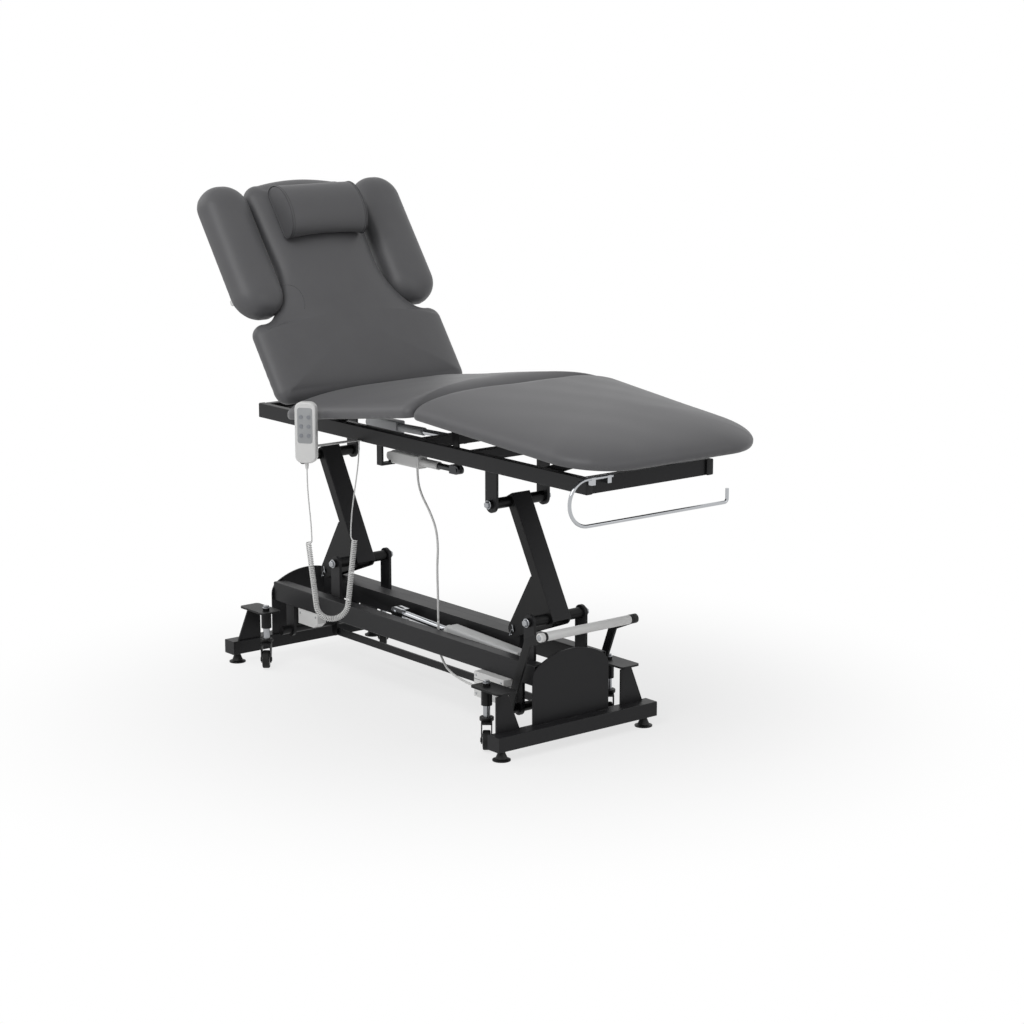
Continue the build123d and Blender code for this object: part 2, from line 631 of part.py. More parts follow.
lift_sizes = {
    "half_wide": DRIVE_HALF_WIDE, "pin_r": DRIVE_PIN_R, "eye_r": DRIVE_EYE_R, "lug_thick": DRIVE_LUG_THICK,
    "body_from": DRIVE_EYE_R + OPEN_FIT + DRIVE_EYE_R / 2, "body_long": DRIVE_HOUSING_LONG,
    "body_tall": DRIVE_HOUSING_TALL, "tube_r": DRIVE_TUBE_R, "tube_to": DRIVE_TUBE_LONG,
    "rod_r": DRIVE_ROD_R, "rod_long": hypot(DRIVE_EYE_X - DRIVE_REAR_X, DRIVE_EYE_Z - DRIVE_REAR_Z)
    - DRIVE_TUBE_LONG + DRIVE_ROD_INSIDE, "fork_back": 2 * DRIVE_EYE_R, "draw_in": DRIVE_DRAW_IN,
}
lift_housing, lift_rod = drive(DRIVE_EYE_X, DRIVE_EYE_Z, DRIVE_REAR_X, DRIVE_REAR_Z, DRIVE_Y, lift_sizes)
export("lift_actuator_housing", lift_housing)
export("lift_actuator_rod", lift_rod)

# Levelling feet
for name, end, side in (("front_near", 1, -1), ("front_far", 1, 1), ("rear_near", -1, -1), ("rear_far", -1, 1)):
    profile = Polyline((0, 0), (FOOT_PAD_R, 0), (FOOT_PAD_R, FOOT_PAD_THICK / 2),
                       (FOOT_PAD_R * FOOT_WAIST_SHARE, FOOT_PAD_THICK), (FOOT_NECK_R, FOOT_HEIGHT - FOOT_PAD_THICK),
                       (FOOT_NECK_R, FOOT_HEIGHT - SIDE_GAP), (FOOT_STEM_R, FOOT_HEIGHT - SIDE_GAP),
                       (FOOT_STEM_R, FOOT_HEIGHT + FOOT_STEM_LONG - EDGE),
                       (0, FOOT_HEIGHT + FOOT_STEM_LONG - EDGE), (0, 0))
    foot = revolve(Plane.XZ * make_face(profile), Axis.Z)
    export(f"foot_{name}", Pos(end * FEET_X, side * FEET_Y, 0) * foot)

# Castor brackets: an upright plate on the cross beam and a top plate that holds the sleeve
brackets = []
for end in (1, -1):
    for side in (1, -1):
        low_y = sorted((side * BRACKET_INNER_Y, side * BRACKET_FOOT_Y))
        top_y = sorted((side * BRACKET_INNER_Y, side * BRACKET_TOP_Y))
        if end != side:
            shift = side * (BRACKET_FOOT_Y - BRACKET_TOP_Y)
            top_y = [v + shift for v in top_y]
        z0 = beam_top
        z1 = CASTOR_PLATE_Z - BRACKET_THICK
        face = make_face(Polyline((low_y[0], z0), (low_y[1], z0), (top_y[1], z1), (top_y[0], z1), (low_y[0], z0)))
        x0 = min(end * BRACKET_X, end * (BRACKET_X + BRACKET_THICK))
        plane = Plane(origin=(x0, 0, 0), x_dir=(0, 1, 0), z_dir=(1, 0, 0))
        plate = extrude(plane * face, BRACKET_THICK)
        xs = sorted((end * (CASTOR_X - CASTOR_PLATE_REACH), end * (BRACKET_X + BRACKET_THICK)))
        y_mid = side * CASTOR_Y
        top = block(xs[0], xs[1], y_mid - CASTOR_PLATE_WIDE / 2, y_mid + CASTOR_PLATE_WIDE / 2,
                    CASTOR_PLATE_Z - BRACKET_THICK, CASTOR_PLATE_Z)
        top = fillet(top.edges().filter_by(Axis.Z), CASTOR_PLATE_WIDE * PLATE_ROUND_SHARE)
        sleeve = cylinder_z(end * CASTOR_X, y_mid, SLEEVE_R, CASTOR_PLATE_Z - BRACKET_THICK - SLEEVE_LONG,
                            CASTOR_PLATE_Z)
        sleeve += cylinder_z(end * CASTOR_X, y_mid, SLEEVE_R * SLEEVE_COLLAR_SHARE, CASTOR_PLATE_Z,
                             CASTOR_PLATE_Z + BRACKET_THICK + EDGE)
        bracket = plate + top + sleeve
        bracket -= cylinder_z(end * CASTOR_X, y_mid, STEM_R + RUNNING_FIT,
                              CASTOR_PLATE_Z - BRACKET_THICK - SLEEVE_LONG - OVERRUN, CASTOR_PLATE_Z)
        brackets.append(bracket)
export("castor_brackets", *brackets)

# Castors: a stem that slides in the sleeve, a fork that swivels under it and a wheel
wheel_z = WHEEL_CLEARANCE + WHEEL_R
trail_x = FORK_TRAIL * cos(radians(CASTOR_TURN))
trail_y = -FORK_TRAIL * sin(radians(CASTOR_TURN))
for name, end, side in (("front_near", 1, -1), ("front_far", 1, 1), ("rear_near", -1, -1), ("rear_far", -1, 1)):
    cx = end * CASTOR_X
    cy = side * CASTOR_Y
    stem = cylinder_z(cx, cy, STEM_R, STEM_BOTTOM, CASTOR_PLATE_Z - BRACKET_THICK)
    stem += cylinder_z(cx, cy, COLLAR_R, STEM_BOTTOM, STEM_BOTTOM + COLLAR_THICK)
    head_top = STEM_BOTTOM - FORK_THICK - 2 * SIDE_GAP
    stem += cylinder_z(cx, cy, KINGPIN_R, head_top, STEM_BOTTOM)
    stem += cylinder_z(cx, cy, KINGPIN_R + EDGE, head_top - EDGE, head_top)
    export(f"castor_stem_{name}", stem)
    fork_top = STEM_BOTTOM - SIDE_GAP
    inner_y = WHEEL_WIDE / 2 + FORK_GAP
    cheek_r = FORK_WIDE * FORK_CHEEK_SHARE
    lead = FORK_TRAIL * FORK_LEAD_SHARE
    cheek = make_hull([*disc(0, wheel_z, cheek_r).edges(), *disc(-FORK_TRAIL, fork_top - cheek_r, cheek_r).edges(),
                       *disc(lead, fork_top - cheek_r, cheek_r).edges()])
    fork = block(-FORK_TRAIL - cheek_r, lead + cheek_r, -inner_y - FORK_THICK,
                 inner_y + FORK_THICK, fork_top - FORK_THICK, fork_top)
    for cheek_side in (1, -1):
        y0, y1 = sorted((cheek_side * inner_y, cheek_side * (inner_y + FORK_THICK)))
        fork += slab(cheek, y0, y1)
        fork += cylinder_y(0, wheel_z, WHEEL_AXLE_R + EDGE, *(cheek_side * v for v in (
            inner_y + FORK_THICK, inner_y + FORK_THICK + EDGE)))
    fork += cylinder_y(0, wheel_z, WHEEL_AXLE_R, -inner_y, inner_y)
    fork -= cylinder_z(-FORK_TRAIL, 0, KINGPIN_R + RUNNING_FIT, fork_top - 2 * FORK_THICK, fork_top + FORK_THICK)
    place = Pos(cx + trail_x, cy + trail_y, 0) * Rot(0, 0, -CASTOR_TURN)
    export(f"castor_fork_{name}", place * fork)
    wheel = cylinder_y(0, wheel_z, WHEEL_R, -WHEEL_WIDE / 2, WHEEL_WIDE / 2)
    wheel = fillet(wheel.edges(), WHEEL_WIDE * WHEEL_ROUND_SHARE)
    wheel -= cylinder_y(0, wheel_z, WHEEL_AXLE_R + RUNNING_FIT, -WHEEL_WIDE, WHEEL_WIDE)
    export(f"castor_wheel_{name}", place * wheel)

# Pedal: foot bar, two bent arms and the shaft with the front crank
pedal = cylinder_y(PEDAL_BAR_X, PEDAL_BAR_Z, PEDAL_BAR_R, -PEDAL_BAR_LONG / 2, PEDAL_BAR_LONG / 2)
arm_outer = PEDAL_ARM_Y + PEDAL_ARM_THICK / 2
pedal += cylinder_y(PEDAL_SHAFT_X, PEDAL_SHAFT_Z, PEDAL_SHAFT_R, -arm_outer, arm_outer)
for side in (1, -1):
    y0, y1 = sorted((side * (PEDAL_ARM_Y - PEDAL_ARM_THICK / 2), side * arm_outer))
    pedal += slab(strap(PEDAL_SHAFT_X, PEDAL_SHAFT_Z, PEDAL_ELBOW_X, PEDAL_ELBOW_Z, PEDAL_ARM_WIDE / 2), y0, y1)
    pedal += slab(strap(PEDAL_ELBOW_X, PEDAL_ELBOW_Z, PEDAL_BAR_X, PEDAL_BAR_Z, PEDAL_ARM_WIDE / 2), y0, y1)
crank_y = CRANK_Y, CRANK_Y + CRANK_THICK
crank_z = PEDAL_SHAFT_Z - CRANK_LONG
pin_to = CRANK_Y + CRANK_THICK + SIDE_GAP + LINK_THICK + SIDE_GAP + EDGE


def crank(x):
    """A crank arm that hangs from a shaft, with the pin of the link bar and the pin's head."""
    arm = slab(strap(x, PEDAL_SHAFT_Z, x, crank_z, CRANK_R), *crank_y)
    arm += cylinder_y(x, crank_z, CRANK_PIN_R, CRANK_Y, pin_to)
    arm += cylinder_y(x, crank_z, CRANK_PIN_R + EDGE, pin_to - EDGE, pin_to)
    return arm


pedal += crank(PEDAL_SHAFT_X)
export("pedal", pedal)
rear_shaft = cylinder_y(-PEDAL_SHAFT_X, PEDAL_SHAFT_Z, PEDAL_SHAFT_R, -arm_outer, arm_outer)
export("rear_crank", rear_shaft + crank(-PEDAL_SHAFT_X))
link_y = CRANK_Y + CRANK_THICK + SIDE_GAP
link_face = strap(-PEDAL_SHAFT_X, crank_z, PEDAL_SHAFT_X, crank_z, LINK_TALL / 2)
for end in (1, -1):
    link_face -= disc(end * PEDAL_SHAFT_X, crank_z, CRANK_PIN_R + RUNNING_FIT)
export("link_bar", slab(link_face, link_y, link_y + LINK_THICK))

# Control box under the near beam, with the recess of its inlet, and the junction box at the rear
box_top = LONG_BEAM_BOTTOM
box = block(BOX_FRONT_X - BOX_LONG, BOX_FRONT_X, -long_beam_outer_y - BOX_DEEP / 2,
            -long_beam_outer_y + BOX_DEEP / 2, box_top - BOX_TALL, box_top, EDGE)
box_rear_x = BOX_FRONT_X - BOX_LONG
box_bottom = box_top - BOX_TALL
inlet_y = -long_beam_outer_y - INLET_WIDE * INLET_SET_SHARE
box -= block(box_rear_x - OVERRUN, box_rear_x + INLET_DEEP, inlet_y - INLET_WIDE / 2, inlet_y + INLET_WIDE / 2,
             box_bottom + INLET_RISE, box_bottom + INLET_RISE + INLET_TALL)
export("control_box", box)
junction_top = LONG_BEAM_BOTTOM
jx0 = JUNCTION_X
jx1 = JUNCTION_X + JUNCTION_LONG
junction_face = make_face(Polyline((jx0, junction_top), (jx1, junction_top),
                                   (jx1, junction_top - JUNCTION_TALL * JUNCTION_STEP_SHARE),
                                   (jx1 - JUNCTION_LONG * JUNCTION_CUT_SHARE, junction_top - JUNCTION_TALL),
                                   (jx0, junction_top - JUNCTION_TALL), (jx0, junction_top)))
junction = slab(junction_face, -long_beam_outer_y, -long_beam_outer_y + JUNCTION_DEEP)
export("junction_box", junction)

# Rail frame
rail_inner_y = RAIL_OUTER_Y - RAIL_WIDE
rail_bottom = RAIL_TOP_Z - RAIL_TALL
rails = []
for side in (1, -1):
    y0, y1 = sorted((side * rail_inner_y, side * RAIL_OUTER_Y))
    rail = tube_x(RAIL_HEAD_X, RAIL_FOOT_X, y0, y1, rail_bottom, RAIL_TOP_Z, RAIL_WALL)
    for x0, x1 in ((RAIL_HEAD_X, RAIL_HEAD_X + RAIL_WALL), (RAIL_FOOT_X - RAIL_WALL, RAIL_FOOT_X)):
        rail += block(x0, x1, y0 + RAIL_WALL, y1 - RAIL_WALL, rail_bottom + RAIL_WALL, RAIL_TOP_Z - RAIL_WALL)
    rails.append(rail)
export("side_rails", *rails)

leg_top_dx = LEG_LONG * sin(radians(LEG_LEAN))
leg_top_z = LEG_PIVOT_Z + LEG_LONG * cos(radians(LEG_LEAN))
front_top_x = LEG_FRONT_X - leg_top_dx
rear_top_x = front_top_x - LEG_SPACING
mid_bottom = rail_bottom
mid_top = rail_bottom + MID_TUBE_TALL
cross_tubes = []
for x0 in (RAIL_HEAD_X + CAP_RECESS, RAIL_FOOT_X - CAP_RECESS - RAIL_WIDE):
    cross_tubes.append(block(x0, x0 + RAIL_WIDE, -rail_inner_y, rail_inner_y, rail_bottom, RAIL_TOP_Z))


def mid_tube(x):
    """A cross tube between the rails, lower than their tops."""
    return block(x - MID_TUBE_WIDE / 2, x + MID_TUBE_WIDE / 2, -rail_inner_y, rail_inner_y, mid_bottom, mid_top)


for x in (front_top_x, rear_top_x):
    tube = mid_tube(x)
    for side in (1, -1):
        face = Pos(x, (leg_top_z + rail_bottom) / 2) * Rectangle(HANGER_WIDE, rail_bottom - leg_top_z)
        face += disc(x, leg_top_z, HANGER_WIDE / 2)
        face -= disc(x, leg_top_z, LEG_PIN_R + RUNNING_FIT)
        y0, y1 = sorted((side * LONG_BEAM_INNER_Y, side * upright_outer_y))
        tube += slab(face, y0, y1)
    cross_tubes.append(tube)

# The tube that holds the back drive, and the stay with the foot of the knee drive
drive_cross = mid_tube(BACK_DRIVE_TUBE_X)
back_ear = slab(strap(BACK_DRIVE_REAR_X, BACK_DRIVE_REAR_Z, BACK_DRIVE_TUBE_X, BACK_DRIVE_REAR_Z, MOTOR_EYE_R),
                BACK_DRIVE_Y - MOTOR_LUG_THICK / 2, BACK_DRIVE_Y + MOTOR_LUG_THICK / 2)
drive_cross += back_ear
stay_inner = KNEE_DRIVE_Y - MOTOR_HALF_WIDE - MOTOR_LUG_THICK
stay_outer = stay_inner - RAIL_WIDE
stay = block(rear_top_x + MID_TUBE_WIDE / 2, BACK_DRIVE_TUBE_X - MID_TUBE_WIDE / 2, stay_outer, stay_inner,
             mid_bottom, mid_bottom + RAIL_WIDE)
foot_face = strap(KNEE_DRIVE_FOOT_X, KNEE_DRIVE_FOOT_Z, KNEE_DRIVE_FOOT_X, mid_bottom + RAIL_WIDE / 2,
                  MOTOR_EYE_R)
stay += slab(foot_face, stay_outer, stay_outer + MOTOR_LUG_THICK)
foot_lug = disc(KNEE_DRIVE_FOOT_X, KNEE_DRIVE_FOOT_Z, MOTOR_EYE_R)
lug = slab(foot_lug, KNEE_DRIVE_Y - MOTOR_LUG_THICK / 2, KNEE_DRIVE_Y + MOTOR_LUG_THICK / 2)
lug += slab(foot_lug + Pos(KNEE_DRIVE_FOOT_X, KNEE_DRIVE_FOOT_Z - MOTOR_EYE_R * MOTOR_LUG_DROP_SHARE)
            * Rectangle(2 * MOTOR_EYE_R, MOTOR_EYE_R),
            KNEE_DRIVE_Y - MOTOR_LUG_THICK / 2, KNEE_DRIVE_Y + MOTOR_LUG_THICK / 2)
lug -= cylinder_y(KNEE_DRIVE_FOOT_X, KNEE_DRIVE_FOOT_Z, MOTOR_PIN_R + RUNNING_FIT,
                  KNEE_DRIVE_Y - OVERRUN, KNEE_DRIVE_Y + OVERRUN)
lug_low = KNEE_DRIVE_FOOT_Z - 2 * MOTOR_EYE_R
lug += block(KNEE_DRIVE_FOOT_X - MOTOR_EYE_R, KNEE_DRIVE_FOOT_X + MOTOR_EYE_R, stay_outer,
             KNEE_DRIVE_Y + MOTOR_LUG_THICK / 2, lug_low, lug_low + MOTOR_LUG_THICK)
lug += block(KNEE_DRIVE_FOOT_X - MOTOR_EYE_R, KNEE_DRIVE_FOOT_X + MOTOR_EYE_R, stay_outer,
             stay_outer + MOTOR_LUG_THICK, lug_low, KNEE_DRIVE_FOOT_Z)
cross_tubes.append(drive_cross + stay + lug)

# Hip: the stubs of the seat's hinge, and the higher pins of the back's
for side in (1, -1):
    ear_y = sorted((side * (rail_inner_y - EAR_THICK), side * rail_inner_y))
    ear = slab(strap(BACK_PIVOT_X, BACK_PIVOT_Z, BACK_PIVOT_X, rail_bottom + MOTOR_EYE_R, MOTOR_EYE_R), *ear_y)
    pin_y = sorted((side * (rail_inner_y - EAR_THICK), side * (rail_inner_y - 3 * EAR_THICK)))
    ear += cylinder_y(BACK_PIVOT_X, BACK_PIVOT_Z, KNEE_SHAFT_R, *pin_y)
    cross_tubes.append(ear)
    hip_y = sorted((side * HIP_STUB_Y, side * rail_inner_y))
    cross_tubes.append(cylinder_y(HIP_X, HIP_Z, HIP_SHAFT_R, *hip_y))
    # the pivot of the swing link
    boss_y = sorted((side * (SWING_Y + SWING_THICK / 2 + SIDE_GAP), side * rail_inner_y))
    link_y_range = sorted((side * (SWING_Y - SWING_THICK / 2 - SIDE_GAP - EDGE), side * rail_inner_y))
    boss = cylinder_y(LINK_PIVOT_X, LINK_PIVOT_Z, SWING_WIDE / 2, *boss_y)
    boss += cylinder_y(LINK_PIVOT_X, LINK_PIVOT_Z, SWING_PIN_R, *link_y_range)
    cross_tubes.append(boss)
export("frame_cross_tubes", *cross_tubes)

# Paper roll bar: a bent rod in the plane across the foot end, held in two clips on the cross tube
roll_low_z = ROLL_TOP_Z - 2 * ROLL_BEND_R
roll_path = Line((ROLL_X, ROLL_START_Y, ROLL_TOP_Z), (ROLL_X, ROLL_BEND_Y, ROLL_TOP_Z))
roll_path += ThreePointArc((ROLL_X, ROLL_BEND_Y, ROLL_TOP_Z),
                           (ROLL_X, ROLL_BEND_Y - ROLL_BEND_R, ROLL_TOP_Z - ROLL_BEND_R),
                           (ROLL_X, ROLL_BEND_Y, roll_low_z))
roll_turn_y = ROLL_FAR_Y - ROLL_TIP_BEND_R
roll_path += Line((ROLL_X, ROLL_BEND_Y, roll_low_z), (ROLL_X, roll_turn_y, roll_low_z))
diagonal = ROLL_TIP_BEND_R * (1 - cos(radians(45)))
roll_path += ThreePointArc((ROLL_X, roll_turn_y, roll_low_z),
                           (ROLL_X, ROLL_FAR_Y - diagonal, roll_low_z + diagonal),
                           (ROLL_X, ROLL_FAR_Y, roll_low_z + ROLL_TIP_BEND_R))
roll_path += Line((ROLL_X, ROLL_FAR_Y, roll_low_z + ROLL_TIP_BEND_R), (ROLL_X, ROLL_FAR_Y,
                                                                      roll_low_z + ROLL_TIP_RISE))
roll_plane = Plane(origin=(ROLL_X, ROLL_START_Y, ROLL_TOP_Z), z_dir=(0, -1, 0))
roll_bar = sweep(roll_plane * Circle(ROLL_BAR_R), path=roll_path)
for clip_x, y in ((RAIL_FOOT_X - CAP_RECESS, ROLL_START_Y - ROLL_CLIP_WIDE),
                  (RAIL_FOOT_X, -RAIL_OUTER_Y + RAIL_WIDE / 2)):
    roll_bar += block(clip_x, ROLL_X + ROLL_BAR_R, y - ROLL_CLIP_WIDE / 2, y + ROLL_CLIP_WIDE / 2,
                      ROLL_TOP_Z - ROLL_CLIP_TALL, ROLL_TOP_Z + ROLL_BAR_R / 2)
export("paper_roll_bar", roll_bar)


# Cushions: each is lofted through outlines that follow the section's shares
def section_outline(x0, x1, corner0, corner1, z, inset):
    """A rectangle at one height, drawn in by an inset, with a corner radius for each end."""
    long = x1 - x0 - 2 * inset
    wide = 2 * CUSHION_HALF_WIDE - 2 * inset
    kept = 1 - CORNER_DRAWN_SHARE * inset / CUSHION_ROLL
    face = Pos((x0 + x1) / 2, 0) * Rectangle(long, wide)
    face = fillet(face.vertices().group_by(Axis.X)[0], corner0 * kept)
    face = fillet(face.vertices().group_by(Axis.X)[-1], corner1 * kept)
    return Pos(0, 0, z) * face


def crowned(outline_at, z, tall, roll):
    """A cushion: tucked in at its board, fullest low down, with a domed top."""
    layers = [outline_at(z + tall * up, roll * drawn) for up, drawn in SECTION_SHARES]
    return loft(Sketch() + layers, ruled=True)


seat_x1 = KNEE_FLAT_X - KNEE_CUSHION_GAP / 2
seat_x0 = seat_x1 - SEAT_LONG
leg_x0 = KNEE_FLAT_X + KNEE_CUSHION_GAP / 2
leg_x1 = leg_x0 + LEG_CUSHION_LONG
seat_flat = crowned(lambda z, inset: section_outline(seat_x0, seat_x1, HIP_CORNER_R, KNEE_CORNER_R, z, inset),
                    BOARD_Z, CUSHION_TALL, CUSHION_ROLL)
leg_flat = crowned(lambda z, inset: section_outline(leg_x0, leg_x1, KNEE_CORNER_R, FOOT_CORNER_R, z, inset),
                   BOARD_Z, CUSHION_TALL, CUSHION_ROLL)


def place_seat(shape):
    """The seat section from flat to its tilt at rest."""
    return turn_about(shape, SEAT_TILT, HIP_X, HIP_Z)


knee_x, knee_z = turned(KNEE_FLAT_X, KNEE_FLAT_Z, SEAT_TILT, HIP_X, HIP_Z)


def place_leg(shape):
    """The leg section from flat to its slope at rest."""
    return turn_about(Pos(knee_x - KNEE_FLAT_X, 0, knee_z - KNEE_FLAT_Z) * shape, -LEG_SLOPE, knee_x, knee_z)


def place_back(shape):
    """The back section from flat to its tilt at rest."""
    return turn_about(shape, -BACK_TILT, BACK_PIVOT_X, BACK_PIVOT_Z)


export("seat_cushion", place_seat(seat_flat))
export("leg_cushion", place_leg(leg_flat))


def back_outline(z, inset):
    """The back's outline: wide over the hips, drawn in at the shoulders to a neck, and a rounded head."""
    low_x = BACK_PIVOT_X - BACK_EDGE_FROM_PIVOT - inset
    side_y = BACK_HALF_WIDE - inset
    low_corner = (low_x - BACK_CORNER_R, side_y)
    shoulder_x = BACK_PIVOT_X - SHOULDER_ALONG + inset
    turn = (shoulder_x + SHOULDER_CORNER_R, side_y)
    shoulder = (shoulder_x, side_y - SHOULDER_CORNER_R)
    inner = (BACK_PIVOT_X - SHOULDER_INNER_ALONG + inset, SHOULDER_INNER_Y - inset)
    neck = (BACK_PIVOT_X - NECK_ALONG + inset / 2, NECK_HALF_WIDE - inset)
    head = (BACK_PIVOT_X - HEAD_ALONG + inset, HEAD_HALF_WIDE - inset)
    crown = (BACK_PIVOT_X - CROWN_ALONG + inset, CROWN_HALF_WIDE - inset)
    bulge = CROWN_BULGE * crown[1] / CROWN_HALF_WIDE
    half = Line((low_x, 0), (low_x, side_y - BACK_CORNER_R))
    half += TangentArc((low_x, side_y - BACK_CORNER_R), low_corner, tangent=(0, 1))
    half += Line(low_corner, turn)
    half += TangentArc(turn, shoulder, tangent=(-1, 0))
    for start, end in ((shoulder, inner), (inner, neck), (neck, head), (head, crown)):
        half += TangentArc(start, end, tangent=half.edges()[-1] % 1)
    face = half.edges() + mirror(half, Plane.XZ).edges()
    face += ThreePointArc(crown, (crown[0] - bulge, 0), (crown[0], -crown[1]))
    return Pos(0, 0, z) * make_face(face)


back_flat = crowned(back_outline, BOARD_Z, BACK_TALL, BACK_ROLL)
export("back_cushion", place_back(back_flat))


# Arm pads: a rounded cushion on a bar that slides in the back frame, with a clamp knob on its outer end
frame_bottom = BOARD_Z - SECTION_FRAME_TALL
pad_bar_x = BACK_PIVOT_X - PAD_BAR_ALONG
pad_bar_z = frame_bottom - PAD_SOCKET_SIDE / 2
pad_x1 = BACK_PIVOT_X - PAD_BOTTOM_ALONG
pad_x0 = pad_x1 - PAD_LONG


def pad_outline(z, inset):
    """A pad's outline: a strip with almost round ends."""
    half = PAD_HALF_WIDE - inset
    return Pos((pad_x0 + pad_x1) / 2, 0, z) * RectangleRounded(PAD_LONG - 2 * inset, 2 * half, half * PAD_END_SHARE)


for name, side in (("near", -1), ("far", 1)):
    cushion = Pos(0, side * PAD_Y, 0) * crowned(pad_outline, BOARD_Z, PAD_TALL, PAD_ROLL)
    bar_end = PAD_Y + PAD_HALF_WIDE - KNOB_INSET - KNOB_LONG
    bar = cylinder_y(pad_bar_x, pad_bar_z, PAD_BAR_R, side * PAD_BAR_INNER_Y, side * bar_end)
    bar -= cylinder_y(pad_bar_x, pad_bar_z, KNOB_PIN_R + RUNNING_FIT, side * (bar_end - KNOB_PIN_LONG - EDGE),
                      side * (bar_end + OVERRUN))
    saddle_y = sorted((side * (PAD_Y - PAD_HALF_WIDE / 2), side * PAD_Y))
    saddle = block(pad_bar_x - PAD_BAR_R, pad_bar_x + PAD_BAR_R, *saddle_y, pad_bar_z, BOARD_Z + EDGE)
    export(f"{name}_arm_pad", place_back(cushion + bar + saddle))
    knob = cylinder_y(pad_bar_x, pad_bar_z, KNOB_R, side * (bar_end + SIDE_GAP),
                      side * (bar_end + SIDE_GAP + KNOB_LONG))
    knob = fillet(knob.edges(), EDGE)
    knob += cylinder_y(pad_bar_x, pad_bar_z, KNOB_PIN_R, side * (bar_end - KNOB_PIN_LONG),
                       side * (bar_end + EDGE))
    export(f"{name}_arm_knob", place_back(knob))

# Pillow: a half-round bolster that lies on the head of the back
pillow_z = BOARD_Z + BACK_TALL + SIDE_GAP
pillow_x = BACK_PIVOT_X - PILLOW_ALONG
lip = PILLOW_TALL * PILLOW_LIP_SHARE
outline = Line((-PILLOW_WIDE / 2 + lip, 0), (PILLOW_WIDE / 2 - lip, 0))
outline += TangentArc((PILLOW_WIDE / 2 - lip, 0), (PILLOW_WIDE / 2, lip), tangent=(1, 0))
outline += ThreePointArc((PILLOW_WIDE / 2, lip), (0, PILLOW_TALL), (-PILLOW_WIDE / 2, lip))
outline += TangentArc((-PILLOW_WIDE / 2 + lip, 0), (-PILLOW_WIDE / 2, lip), tangent=(-1, 0))
pillow = slab(Pos(pillow_x, pillow_z) * make_face(outline), -PILLOW_LONG / 2, PILLOW_LONG / 2)
export("pillow", place_back(pillow))

# Back frame: two rails, two cross bars, the sockets of the pads, the ears of the hinge and the drive's lever
frame_top = BOARD_Z


def frame_block(x0, x1, y0, y1):
    """A flat bar of a section frame, right under its cushion."""
    return block(min(x0, x1), max(x0, x1), min(y0, y1), max(y0, y1), frame_bottom, frame_top - SIDE_GAP)


rail_in = SECTION_RAIL_Y - SECTION_FRAME_WIDE / 2
rail_out = SECTION_RAIL_Y + SECTION_FRAME_WIDE / 2
ear_y = rail_inner_y - 2 * EAR_THICK - SIDE_GAP, rail_inner_y - EAR_THICK - SIDE_GAP
back_low_x = BACK_PIVOT_X - 2 * SECTION_FRAME_WIDE
back_top_x = BACK_PIVOT_X - BACK_FRAME_LONG + SECTION_FRAME_WIDE
back_frame = frame_block(back_low_x, back_low_x + SECTION_FRAME_WIDE, -ear_y[1], ear_y[1])
back_frame += frame_block(back_top_x, back_top_x + SECTION_FRAME_WIDE, -rail_out, rail_out)
for side in (1, -1):
    back_frame += frame_block(back_top_x, back_low_x, side * rail_in, side * rail_out)
    ear_low_z = BOARD_Z - MOTOR_EYE_R - SIDE_GAP
    ear_face = strap(BACK_PIVOT_X, BACK_PIVOT_Z, BACK_PIVOT_X, ear_low_z, MOTOR_EYE_R)
    ear_face += strap(BACK_PIVOT_X, ear_low_z, back_low_x + MOTOR_EYE_R, ear_low_z, MOTOR_EYE_R)
    ear = slab(ear_face, *sorted((side * ear_y[0], side * ear_y[1])))
    ear -= cylinder_y(BACK_PIVOT_X, BACK_PIVOT_Z, KNEE_SHAFT_R + RUNNING_FIT, side * rail_out, side * rail_inner_y)
    back_frame += ear
    socket_y = sorted((side * (PAD_BAR_INNER_Y - 2 * PAD_BAR_R), side * PAD_SOCKET_Y))
    socket = block(pad_bar_x - PAD_SOCKET_SIDE / 2, pad_bar_x + PAD_SOCKET_SIDE / 2, *socket_y,
                   frame_bottom - PAD_SOCKET_SIDE, frame_bottom + EDGE)
    back_frame += socket - cylinder_y(pad_bar_x, pad_bar_z, PAD_BAR_R + RUNNING_FIT, side * PAD_BAR_INNER_Y
                                      - side * EDGE, side * (PAD_SOCKET_Y + OVERRUN))
lever_x = BACK_PIVOT_X + BACK_LEVER * sin(radians(BACK_LEVER_TURN))
lever_z = BACK_PIVOT_Z - BACK_LEVER * cos(radians(BACK_LEVER_TURN))
lever = slab(strap(lever_x, lever_z, back_low_x + SECTION_FRAME_WIDE / 2, frame_top - MOTOR_EYE_R - SIDE_GAP,
                   MOTOR_EYE_R), BACK_DRIVE_Y - MOTOR_LUG_THICK / 2, BACK_DRIVE_Y + MOTOR_LUG_THICK / 2)
lever -= cylinder_y(lever_x, lever_z, MOTOR_PIN_R + RUNNING_FIT, BACK_DRIVE_Y - OVERRUN, BACK_DRIVE_Y + OVERRUN)
back_frame += lever
export("back_frame", place_back(back_frame))

